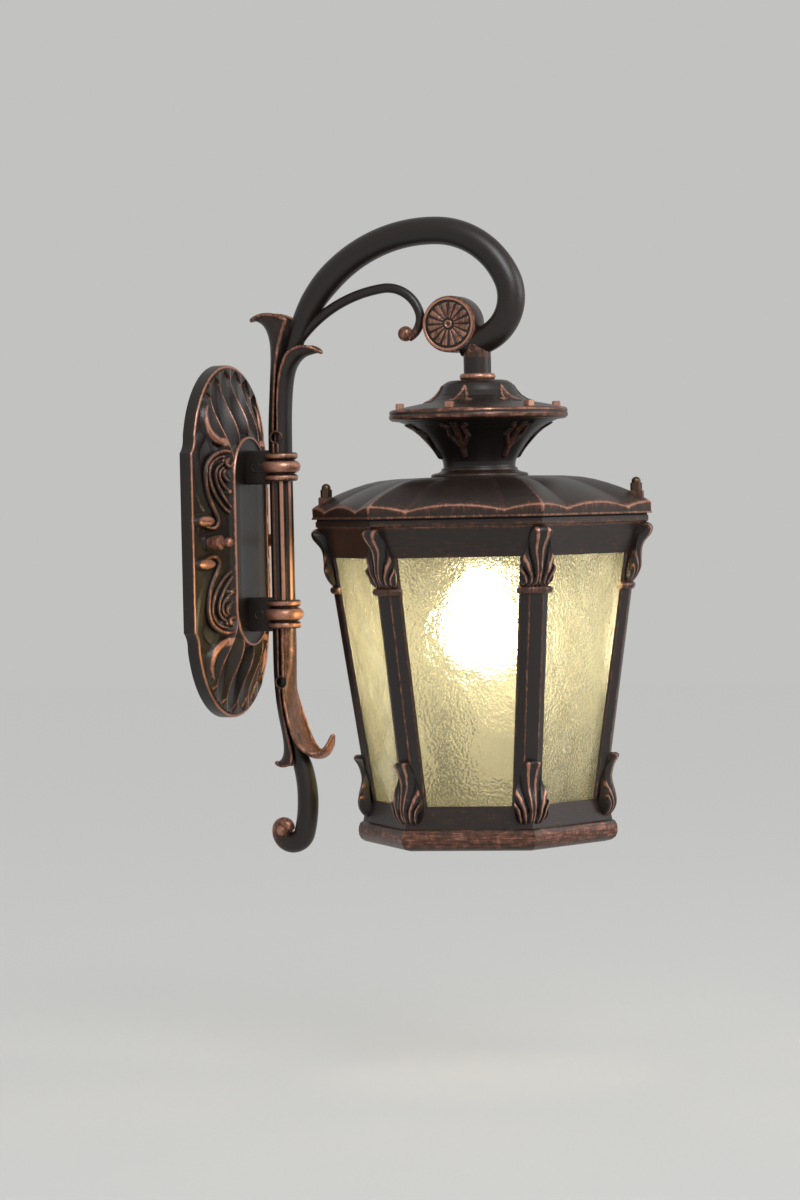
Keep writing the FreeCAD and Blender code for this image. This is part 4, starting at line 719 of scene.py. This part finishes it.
def stroke(across, up, ends, half_width):
    """One where a straight stroke between two points passes, falling to nothing at its edges."""
    (x0, y0), (x1, y1) = ends
    length = (x1 - x0) ** 2 + (y1 - y0) ** 2
    share = np.clip(((across - x0) * (x1 - x0) + (up - y0) * (y1 - y0)) / length, 0.0, 1.0)
    away = np.hypot(across - x0 - share * (x1 - x0), up - y0 - share * (y1 - y0))
    return np.sqrt(np.clip(1 - (away / half_width) ** 2, 0.0, 1.0))


def embossed(profile, strokes, out, up, within):
    """A turned profile with six like motifs raised on it, and how strongly each point belongs to them.

    A motif's strokes are mirrored about its middle. It stands outwards and upwards by the given amounts,
    as far as the radius that it lies within.
    """
    across = np.abs(profile[:, :1] * TO_MOTIF)
    height = np.broadcast_to(profile[:, 1:], across.shape)
    mark = np.zeros_like(across)
    for ends, half_width, strength in strokes:
        mark = np.maximum(mark, stroke(across, height, ends, half_width) * strength)
    mark = mark * (profile[:, :1] < within)
    push = np.stack([out * np.sin(ROUND), out * np.cos(ROUND), np.full(len(ROUND), up)], -1)
    return turned(profile, AXIS, ROUND) + mark[:, :, None] * push, mark


def hollow_skin(outside, rub, inside):
    """A closed skin from the rows of its outside, which are rubbed, and the bare rows of its inside."""
    bare = np.zeros(inside.shape[:2])
    return np.concatenate([outside, inside, outside[:1]]), np.concatenate([rub, bare, rub[:1]])


def stud_box(angle, radius, half, low, high):
    """A small square block on the lantern, turned with its place round the axis, with its edges softened."""
    out, aside = soft_square(0.2, 33)
    levels = np.array([low, high - 0.5, high])[:, None]
    shrink = np.array([1.0, 1.0, 0.84])[:, None]
    far, side = radius + out * half * shrink, aside * half * shrink
    return capped(np.stack([far * math.sin(angle) + side * math.cos(angle),
                            AXIS + far * math.cos(angle) - side * math.sin(angle),
                            np.broadcast_to(levels, far.shape)], -1))


dome, dome_rub = denser(DOME, DOME_RUB, 120)
cap_top, arches = embossed(dome, ARCHES, ARCHES_OUT, ARCHES_UP, ARCHES_WITHIN)
cap_rub = np.maximum(dome_rub[:, None], arches * 0.85)
cap_parts = [(*hollow_skin(cap_top, cap_rub, turned(DISH_UNDER, AXIS, ROUND)), 1.0)]
for k in range(6):
    cap_parts.append((stud_box(MOTIF + k * math.pi / 3, TAB_AT, TAB_HALF, TAB_LOW, TAB_HIGH), 0.95))
cap = cast("crown_cap_cast", cap_parts, casting, "crown_cap")

VASE = ((37.7, 47.0), (37.7, 48.6), (36.5, 49.4), (31.5, 50.6), (29.6, 51.9), (29.6, 53.3), (28.0, 53.8),
        (27.9, 55.5), (28.3, 58.5), (29.5, 61.5), (31.2, 64.5), (33.4, 67.8), (36.2, 71.6), (39.5, 75.6),
        (43.5, 79.8), (48.1, 83.6), (53.5, 86.8), (59.0, 89.2), (61.6, 90.2), (61.6, 90.5))
VASE_RUB = (0.3, 0.45, 0.35, 0.2, 0.4, 0.5, 0.1, 0.05, 0.05, 0.05, 0.05, 0.05, 0.05, 0.05, 0.05, 0.1, 0.15,
            0.2, 0.2, 0.2)
VASE_INNER = ((58.0, 90.5), (50.0, 87.5), (40.0, 80.0), (31.0, 69.0), (26.0, 60.0), (24.9, 52.0),
              (24.9, 47.0))
LILY = ((((0.0, 63.0), (1.2, 86.0)), 2.3, 1.0), (((1.0, 70.0), (7.0, 78.5)), 1.9, 1.0),
        (((7.0, 78.5), (6.0, 84.0)), 2.1, 1.0), (((6.0, 84.0), (9.5, 86.5)), 1.8, 1.0))
LILY_OUT, LILY_UP = 2.7, -0.4
wall, wall_rub = denser(VASE, VASE_RUB, 110)
vase_out, lily = embossed(wall, LILY, LILY_OUT, LILY_UP, math.inf)
vase_rub = np.maximum(wall_rub[:, None], lily * 0.62)
vase_skin = hollow_skin(vase_out, vase_rub, turned(VASE_INNER, AXIS, ROUND))
vase = cast("crown_vase_cast", [vase_skin], casting, "crown_vase")

# Roof: a six-sided aluminium casting with three shallow lobes on each face, so that its eave is scalloped.
# Two square seats near opposite corners carry the domed nuts that hold it on the cage.

TURN = math.radians(10.3)
SIX = math.pi / 3
# Corner radius, height and share of the lobes' dip.
ROOF = ((134.0, 16.0, 0.0), (134.0, 17.2, 0.0), (133.2, 18.0, 0.0), (133.4, 21.0, 0.55), (133.6, 24.0, 1.0),
        (133.0, 25.0, 1.0), (130.5, 26.6, 1.0), (126.0, 29.2, 0.92), (118.0, 33.0, 0.8), (109.0, 36.8, 0.68),
        (100.0, 40.0, 0.55), (90.0, 43.0, 0.4), (80.0, 45.0, 0.25), (66.0, 46.3, 0.12), (38.0, 47.0, 0.0),
        (6.0, 47.0, 0.0))
ROOF_RUB = (0.6, 0.7, 0.35, 0.4, 0.55, 0.95, 0.45, 0.3, 0.26, 0.24, 0.22, 0.2, 0.18, 0.15, 0.1, 0.0)
ROOF_INNER = ((6.0, 42.5), (78.0, 40.5), (99.0, 35.0), (116.0, 27.0), (118.0, 21.0), (120.6, 16.0))
FACE = np.linspace(0.0, 1.0, 61)[:-1]
SIDE_LOBE, LOBE_DIP = 0.22, 4.0
SEAT_AT, SEAT_HALF, SEAT_LOW, SEAT_HIGH = 122.0, 5.5, 24.0, 33.5


def hexagon(radius, shares=FACE):
    """Points along the six edges of a hexagon of this corner radius, as x and depth, closed."""
    corners = TURN + SIX * np.arange(7)
    x, out = np.sin(corners), np.cos(corners)
    share = shares[None, :]
    across = (x[:-1, None] * (1 - share) + x[1:, None] * share).ravel()
    away = (out[:-1, None] * (1 - share) + out[1:, None] * share).ravel()
    across, away = np.append(across, across[0]), np.append(away, away[0])
    return np.asarray(radius)[..., None] * across, AXIS + np.asarray(radius)[..., None] * away


def six_sided(profile):
    """A profile of (corner radius, height) carried round the hexagon."""
    profile = np.asarray(profile, float)
    x, depth = hexagon(profile[:, 0])
    return np.stack([x, depth, np.broadcast_to(profile[:, 1:2], x.shape)], -1)


face = np.append(np.tile(FACE, 6), 0.0)
beside = np.minimum(face, 1 - face)
middle_lobe = ((0.5 - beside) / (0.5 - SIDE_LOBE)) ** 2 * 1.1 - 0.1
dip = np.where(beside < SIDE_LOBE, (beside / SIDE_LOBE) ** 2, middle_lobe)
lobed = np.array(ROOF)[:, 2:]
roof_out = six_sided(ROOF)
roof_out[:, :, 2] -= lobed * LOBE_DIP * dip
crease = smooth((0.022 - np.abs(beside - SIDE_LOBE)) / 0.02) * 0.25
crease = np.maximum(crease, smooth((0.02 - beside) / 0.02) * 0.6)
roof_rub = np.array(ROOF_RUB)[:, None] + crease * (lobed > 0.2) * 0.8
roof_parts = [hollow_skin(roof_out, roof_rub, six_sided(ROOF_INNER))]
for opposite in (0.0, math.pi):
    roof_parts.append((stud_box(TURN + opposite, SEAT_AT, SEAT_HALF, SEAT_LOW, SEAT_HIGH), 0.55))
roof = cast("roof_cast", roof_parts, casting, "roof", sharp=28.0)

# Domed nuts: two turned brass cap nuts on the studs of the cage, gone dull.
# Dull brass keeps a soft yellow-brown glint.

NUT_BRASS = "#5a4a3a"


def plain(name, sockets):
    """A material that is the same all over: one shader with these constants on its sockets."""
    material, tree, out = blank(name)
    skin = add(tree, "ShaderNodeBsdfPrincipled", sockets)
    tree.links.new(skin.outputs["BSDF"], out.inputs["Surface"])
    return material


brass = plain("dull brass", {"Base Color": linear(NUT_BRASS), "Metallic": 1.0, "Roughness": 0.38})
finish("cap_nuts", brass)

# Cage: one aluminium casting. A leaning frieze under the roof, six posts that lean in towards the foot,
# an acanthus leaf at the head and foot of each post, and a skirt on a rounded base moulding.

CAGE_TOP, CAGE_FLOOR = 14.5, -217.7
POST_RADIUS_TOP, TAPER = 124.9, 0.148
FRIEZE = ((131.0, CAGE_TOP), (131.0, 10.2), (129.6, 9.4), (129.0, 8.2), (127.6, 6.8), (122.5, -14.0),
          (119.6, -14.0), (122.8, CAGE_TOP))
FRIEZE_RUB = (0.3, 0.5, 0.65, 0.5, 0.28, 0.32, 0.1, 0.0)
BASE = ((94.7, -203.2), (98.0, -219.2), (98.2, -220.2), (100.4, -221.4), (101.7, -224.0), (102.2, -227.5),
        (101.8, -231.0), (100.4, -233.8), (97.4, -235.9), (92.2, -237.2), (85.8, -237.2), (84.2, -222.7),
        (70.0, -222.7), (70.0, -218.7), (89.6, -218.7), (92.0, -203.2))
BASE_RUB = (0.34, 0.3, 0.3, 0.5, 0.6, 0.65, 0.6, 0.55, 0.45, 0.3, 0.0, 0.0, 0.0, 0.0, 0.0, 0.1)


def post_radius(height):
    """Distance of a post's front from the axis: it shrinks evenly from the top down."""
    return POST_RADIUS_TOP - TAPER * (CAGE_TOP - height)


def at_corner(k, out, aside, height):
    """Points given by their distance from the axis and sideways from corner k of the lantern."""
    angle = TURN + SIX * k
    return np.stack([out * math.sin(angle) + aside * math.cos(angle),
                     AXIS + out * math.cos(angle) - aside * math.sin(angle), height], -1)


# Half the section of a post, as steps outwards and sideways from the middle of its front.
SECTION = ((0.0, 0.0), (0.0, 4.5), (-0.1, 5.2), (-0.6, 6.0), (-1.3, 6.8), (-4.4, 10.2), (-5.3, 11.1),
           (-6.0, 11.5), (-7.5, 11.5), (-15.5, 4.5))
SECTION_RUB = (0.1, 0.12, 0.72, 0.6, 0.08, 0.06, 0.62, 0.5, 0.1, 0.0)


def upright(k, levels, proud):
    """A post of the cage: a flat front with a bevel on each side, carried along heights.

    It follows the cage's lean and stands out by a given amount at each height.
    """
    half = np.array(SECTION)
    loop = np.concatenate([half, half[:0:-1] * (1, -1), half[:1]])
    rub = np.array(SECTION_RUB)
    rub = np.concatenate([rub, rub[:0:-1], rub[:1]])
    height, proud = levels[:, None] * np.ones(len(loop)), proud[:, None]
    out = post_radius(height) + loop[:, 0] + proud
    aside = loop[:, 1] * (1 + proud / 9.0)
    return capped(at_corner(k, out, aside, height)), np.concatenate([rub[None]] * (len(levels) + 2)) * 0.9


# Stations of the leaves: height, distance of the midrib from the axis, and half the width.
CAPITAL = ((-37.6, 118.2, 10.6), (-34.5, 120.6, 13.0), (-29.0, 122.6, 14.6), (-22.0, 123.4, 14.2),
           (-15.0, 123.4, 12.2), (-9.0, 124.2, 10.4), (-4.5, 126.6, 9.6), (-1.0, 130.0, 9.4),
           (2.0, 132.8, 9.4), (4.6, 134.2, 8.8), (7.0, 133.8, 7.4), (8.8, 131.8, 5.0), (9.2, 129.6, 2.4))
FOOT = ((-220.0, 93.0, 7.0), (-217.6, 96.6, 10.4), (-212.0, 99.4, 13.2), (-205.0, 100.4, 14.6),
        (-198.0, 99.2, 14.2), (-191.0, 97.0, 12.2), (-185.0, 96.8, 10.0), (-180.0, 98.4, 8.6),
        (-176.0, 101.4, 8.2), (-172.8, 104.0, 7.8), (-170.4, 104.9, 6.6), (-168.6, 103.6, 4.6),
        (-168.0, 101.4, 2.2))
HEAD_REACH, FOOT_REACH = (39.0, 11.0), (45.0, 10.5)
LOBE_STEP, LOBE_HEIGHT, LEAF_HALF = 3.5, 3.3, 14.6


def acanthus(k, stations, reach):
    """An acanthus leaf over a post, from its foot to its curled tip.

    The front bows back towards its edges. Ridges rise from the foot at even steps and sweep out to the
    edge, each lower than the one before, and the edge is notched between them.
    """
    rows = 84
    profile = eased(stations, rows)
    height, out, half = [profile[:, i:i + 1] for i in range(3)]
    at = np.concatenate([[0.0], np.cumsum(np.hypot(np.diff(height[:, 0]), np.diff(out[:, 0])))])[:, None]
    side = np.sin(np.linspace(-np.pi / 2, np.pi / 2, 65))
    order = np.linspace(0.0, 5.0, 251)
    sweep = np.clip(at / np.maximum(reach[0] - reach[1] * order, 0.5), 0.0, 20.0) ** 1.45
    ridges = LOBE_STEP * order + (LEAF_HALF - LOBE_STEP * order) * sweep * (0.15 + 0.85 * smooth(order / 1.6))
    count = (np.abs(half * side)[:, :, None] > ridges[:, None, :]).sum(2) * (order[1] - order[0])
    fold = np.abs(np.cos(np.pi * count))
    notch = 1 - 0.07 * (1 - fold[:, :1]) * smooth(at / 6.0)
    aside = half * notch * side
    fading = (0.25 + 0.75 * smooth(at / 16.0)) * (1 - 0.5 * smooth((at - 40.0) / 10.0))
    lift = LOBE_HEIGHT * fold ** 0.65 * fading
    drop = 0.26 * half * side ** 2 + 1.6 - lift
    normal_out, normal_up = np.gradient(height[:, 0])[:, None], -np.gradient(out[:, 0])[:, None]
    length = np.hypot(normal_out, normal_up)
    front_out = out - drop * normal_out / length
    front_up = height - drop * normal_up / length
    share = at / at[-1]
    hidden = np.minimum(post_radius(height) - 3.0, out - 0.55 * half)
    hidden = np.where(share > 0.7, np.minimum(out - 6.0, post_radius(np.minimum(height, 9.0)) - 2.0), hidden)
    loop_out = np.concatenate([front_out, hidden, hidden, front_out[:, :1]], 1)
    loop_up = np.concatenate([front_up, height, height, front_up[:, :1]], 1)
    loop_aside = np.concatenate([aside, half * 0.8, -half * 0.8, aside[:, :1]], 1)
    rub = smooth((fold - 0.78) / 0.2) * 0.82
    rub = np.concatenate([rub, np.zeros((rows, 2)), rub[:, :1]], 1) + 0.05
    return capped(at_corner(k, loop_out, loop_aside, loop_up)), to_ends(rub)


def moulding(profile, rubs):
    """A closed section carried round the hexagon."""
    grid = six_sided(profile)
    rub = np.array(rubs)[:, None] * np.ones(grid.shape[1])
    return np.concatenate([grid, grid[:1]]), np.concatenate([rub, rub[:1]]), 1.0


NECK_AT, NECK, NECK_PROUD = -39.6, 2.9, 2.3
neck = np.linspace(0.0, np.pi, 13)
cage_parts = [moulding(FRIEZE, FRIEZE_RUB), moulding(BASE, BASE_RUB)]
for k in range(6):
    cage_parts.append(upright(k, np.linspace(CAGE_FLOOR, CAGE_TOP - 3.0, 8), np.zeros(8)))
    cage_parts.append((upright(k, NECK_AT - NECK * np.cos(neck), NECK_PROUD * np.sin(neck))[0], 0.55))
    cage_parts.append(acanthus(k, CAPITAL, HEAD_REACH))
    cage_parts.append(acanthus(k, FOOT, FOOT_REACH))
cage = cast("lantern_cage_cast", cage_parts, casting, "lantern_cage", sharp=32.0)

# Panes: six sheets of pale amber cathedral glass in the posts' grooves, and one in the base.
# One face was rolled on a hammered plate, so the glass scatters the bulb into a broad glow.

GLASS = "#f2e9cd"
GLOW = "#c6cbc0"
PASSING = "#f6efbe"
HAMMER, WAVE = 2.2, 30.0
GLASS_IOR, GLASS_ROUGH, MILKY_SHARE = 1.52, 0.17, 0.095
glass, tree, out = blank("hammered cathedral glass")
place = add(tree, "ShaderNodeTexCoord").outputs["Object"]
hammer = add(tree, "ShaderNodeTexVoronoi", {
    "Vector": place, "Scale": 1 / (HAMMER * MM), "Smoothness": 0.6}, feature="SMOOTH_F1")
wave = add(tree, "ShaderNodeTexVoronoi", {
    "Vector": place, "Scale": 1 / (WAVE * MM), "Smoothness": 0.2}, feature="SMOOTH_F1")
fine = add(tree, "ShaderNodeBump", {
    "Height": hammer.outputs["Distance"], "Strength": 0.32, "Distance": 0.0012})
broad = add(tree, "ShaderNodeBump", {
    "Height": wave.outputs["Distance"], "Strength": 0.9, "Distance": 0.006, "Normal": fine.outputs["Normal"]})
clear = add(tree, "ShaderNodeBsdfPrincipled", {
    "Base Color": linear(GLASS), "Roughness": GLASS_ROUGH, "IOR": GLASS_IOR, "Transmission Weight": 1.0,
    "Normal": broad.outputs["Normal"]})
milky = add(tree, "ShaderNodeBsdfTranslucent", {"Color": linear(GLOW), "Normal": broad.outputs["Normal"]})
both = add(tree, "ShaderNodeMixShader", {0: MILKY_SHARE, 1: clear.outputs["BSDF"], 2: milky.outputs["BSDF"]})
passing = add(tree, "ShaderNodeBsdfTransparent", {"Color": linear(PASSING)})
shadow = add(tree, "ShaderNodeLightPath")
skin = add(tree, "ShaderNodeMixShader", {
    0: shadow.outputs["Is Shadow Ray"], 1: both.outputs["Shader"], 2: passing.outputs["BSDF"]})
tree.links.new(skin.outputs["Shader"], out.inputs["Surface"])
for k in range(6):
    finish("glass_pane_%d" % (k + 1), glass)
finish("bottom_glass", glass)

# Lamp: a lit frosted bulb in a glazed porcelain screw holder, hung from the roof.
# The frosting hides the filament, so the whole globe shines warm white. The glaze is white and glossy.

BULB_GLASS = "#fff6e2"
BULB_LIGHT = "#fff0d4"
PORCELAIN = "#e8e4da"
bulb = plain("lit frosted bulb glass", {
    "Base Color": linear(BULB_GLASS), "Roughness": 0.5, "Emission Color": linear(BULB_LIGHT),
    "Emission Strength": 36.0})
finish("bulb", bulb)
porcelain = plain("glazed porcelain", {"Base Color": linear(PORCELAIN), "Roughness": 0.2})
finish("lamp_holder", porcelain)

# Hidden fixings: steel strap, studs, bolts, rod and nuts, a moulded wiring block and a seal cut from sheet.
# Zinc plating gives the steel a pale, slightly soft shine. The nylon is off-white and half matt, the rubber
# dull black.

ZINC = "#b4b6b8"
NYLON = "#e3e2dd"
RUBBER = "#1c1c1c"
zinc = plain("zinc-plated steel", {"Base Color": linear(ZINC), "Metallic": 1.0, "Roughness": 0.35})
for node in ("mounting_strap", "strap_studs", "arm_bolts", "hanger_rod", "rod_nuts", "roof_studs"):
    finish(node, zinc)
moulded = plain("moulded nylon", {"Base Color": linear(NYLON), "Roughness": 0.5})
finish("terminal_block", moulded)
seal = plain("black rubber", {"Base Color": linear(RUBBER), "Roughness": 0.8})
finish("roof_gasket", seal)

# Studio: a sheet of pale paper as the floor, well below the light, a pale backdrop and two soft lamps.
# Rays that show the backdrop see it evenly pale, and all others see a plain sky.
# The camera stands at the photograph's angle.

FLOOR, FLOOR_HALF = -0.42, 6.0
BACKDROP = "#d4d4d2"
SKY = "#eef0f2"


def showing(tree):
    """One for rays that show the backdrop: from the camera, off a gloss or through glass."""
    ray = add(tree, "ShaderNodeLightPath")
    shown = add(tree, "ShaderNodeMath", {
        0: ray.outputs["Is Camera Ray"], 1: ray.outputs["Is Glossy Ray"]}, operation="MAXIMUM")
    shown = add(tree, "ShaderNodeMath", {
        0: shown.outputs["Value"], 1: ray.outputs["Is Transmission Ray"]}, operation="MAXIMUM")
    return shown.outputs["Value"]


floor_mesh = bpy.data.meshes.new("studio_floor")
floor_corners = [(-FLOOR_HALF, -FLOOR_HALF, FLOOR), (FLOOR_HALF, -FLOOR_HALF, FLOOR),
                 (FLOOR_HALF, FLOOR_HALF, FLOOR), (-FLOOR_HALF, FLOOR_HALF, FLOOR)]
floor_mesh.from_pydata(floor_corners, [], [(0, 1, 2, 3)])
floor = bpy.data.objects.new("studio_floor", floor_mesh)
bpy.context.collection.objects.link(floor)
paper, tree, out = blank("pale paper")
matt = add(tree, "ShaderNodeBsdfDiffuse", {"Color": linear(BACKDROP)})
even = add(tree, "ShaderNodeEmission", {"Color": linear(BACKDROP), "Strength": 0.98})
share = add(tree, "ShaderNodeMath", {0: showing(tree), 1: 0.75}, operation="MULTIPLY")
skin = add(tree, "ShaderNodeMixShader", {
    0: share.outputs["Value"], 1: matt.outputs["BSDF"], 2: even.outputs["Emission"]})
tree.links.new(skin.outputs["Shader"], out.inputs["Surface"])
floor_mesh.materials.append(paper)

world = bpy.data.worlds.new("studio")
bpy.context.scene.world = world
world.use_nodes = True
tree = world.node_tree
tree.nodes.clear()
out = add(tree, "ShaderNodeOutputWorld")
seen = add(tree, "ShaderNodeBackground", {"Color": linear(BACKDROP), "Strength": 0.82})
lit = add(tree, "ShaderNodeBackground", {"Color": linear(SKY), "Strength": 0.35})
sky = add(tree, "ShaderNodeMixShader", {
    0: showing(tree), 1: lit.outputs["Background"], 2: seen.outputs["Background"]})
tree.links.new(sky.outputs["Shader"], out.inputs["Surface"])


def soft_lamp(name, place, target, size, power):
    """A square soft lamp that faces a point."""
    light = bpy.data.lights.new(name, "AREA")
    light.size = size
    light.energy = power
    lamp = bpy.data.objects.new(name, light)
    bpy.context.collection.objects.link(lamp)
    lamp.location = place
    away = np.subtract(place, target)
    tilt = math.acos(away[2] / np.linalg.norm(away))
    lamp.rotation_euler = (tilt, 0.0, math.atan2(away[1], away[0]) + math.pi / 2)


LIT_AT = (0.0, -0.15, 0.0)
soft_lamp("key", (-1.6, -1.5, 1.7), LIT_AT, 1.2, 42.0)
soft_lamp("fill", (0.6, -2.2, 0.8), LIT_AT, 1.4, 18.0)

YAW, PITCH, ROLL = math.radians(69.02), math.radians(-1.4506), math.radians(-1.2716)
CAMERA_AT, SENSOR, FOCAL_LENGTH = (-2.90036, -1.26364, 0.03041), 36.0, 178.54
lens = bpy.data.cameras.new("photograph")
lens.sensor_fit = "HORIZONTAL"
lens.sensor_width = SENSOR
lens.lens = FOCAL_LENGTH
camera = bpy.data.objects.new("photograph", lens)
bpy.context.collection.objects.link(camera)
look = np.array([math.sin(YAW) * math.cos(PITCH), math.cos(YAW) * math.cos(PITCH), math.sin(PITCH)])
right = np.array([math.cos(YAW), -math.sin(YAW), 0.0])
above = np.cross(right, look)
right, above = (math.cos(ROLL) * right + math.sin(ROLL) * above,
                math.cos(ROLL) * above - math.sin(ROLL) * right)
matrix = np.eye(4)
matrix[:3, 0], matrix[:3, 1], matrix[:3, 2] = right, above, -look
matrix[:3, 3] = CAMERA_AT
camera.matrix_world = Matrix(matrix)
bpy.context.scene.camera = camera
bpy.context.scene.view_settings.view_transform = "Standard"
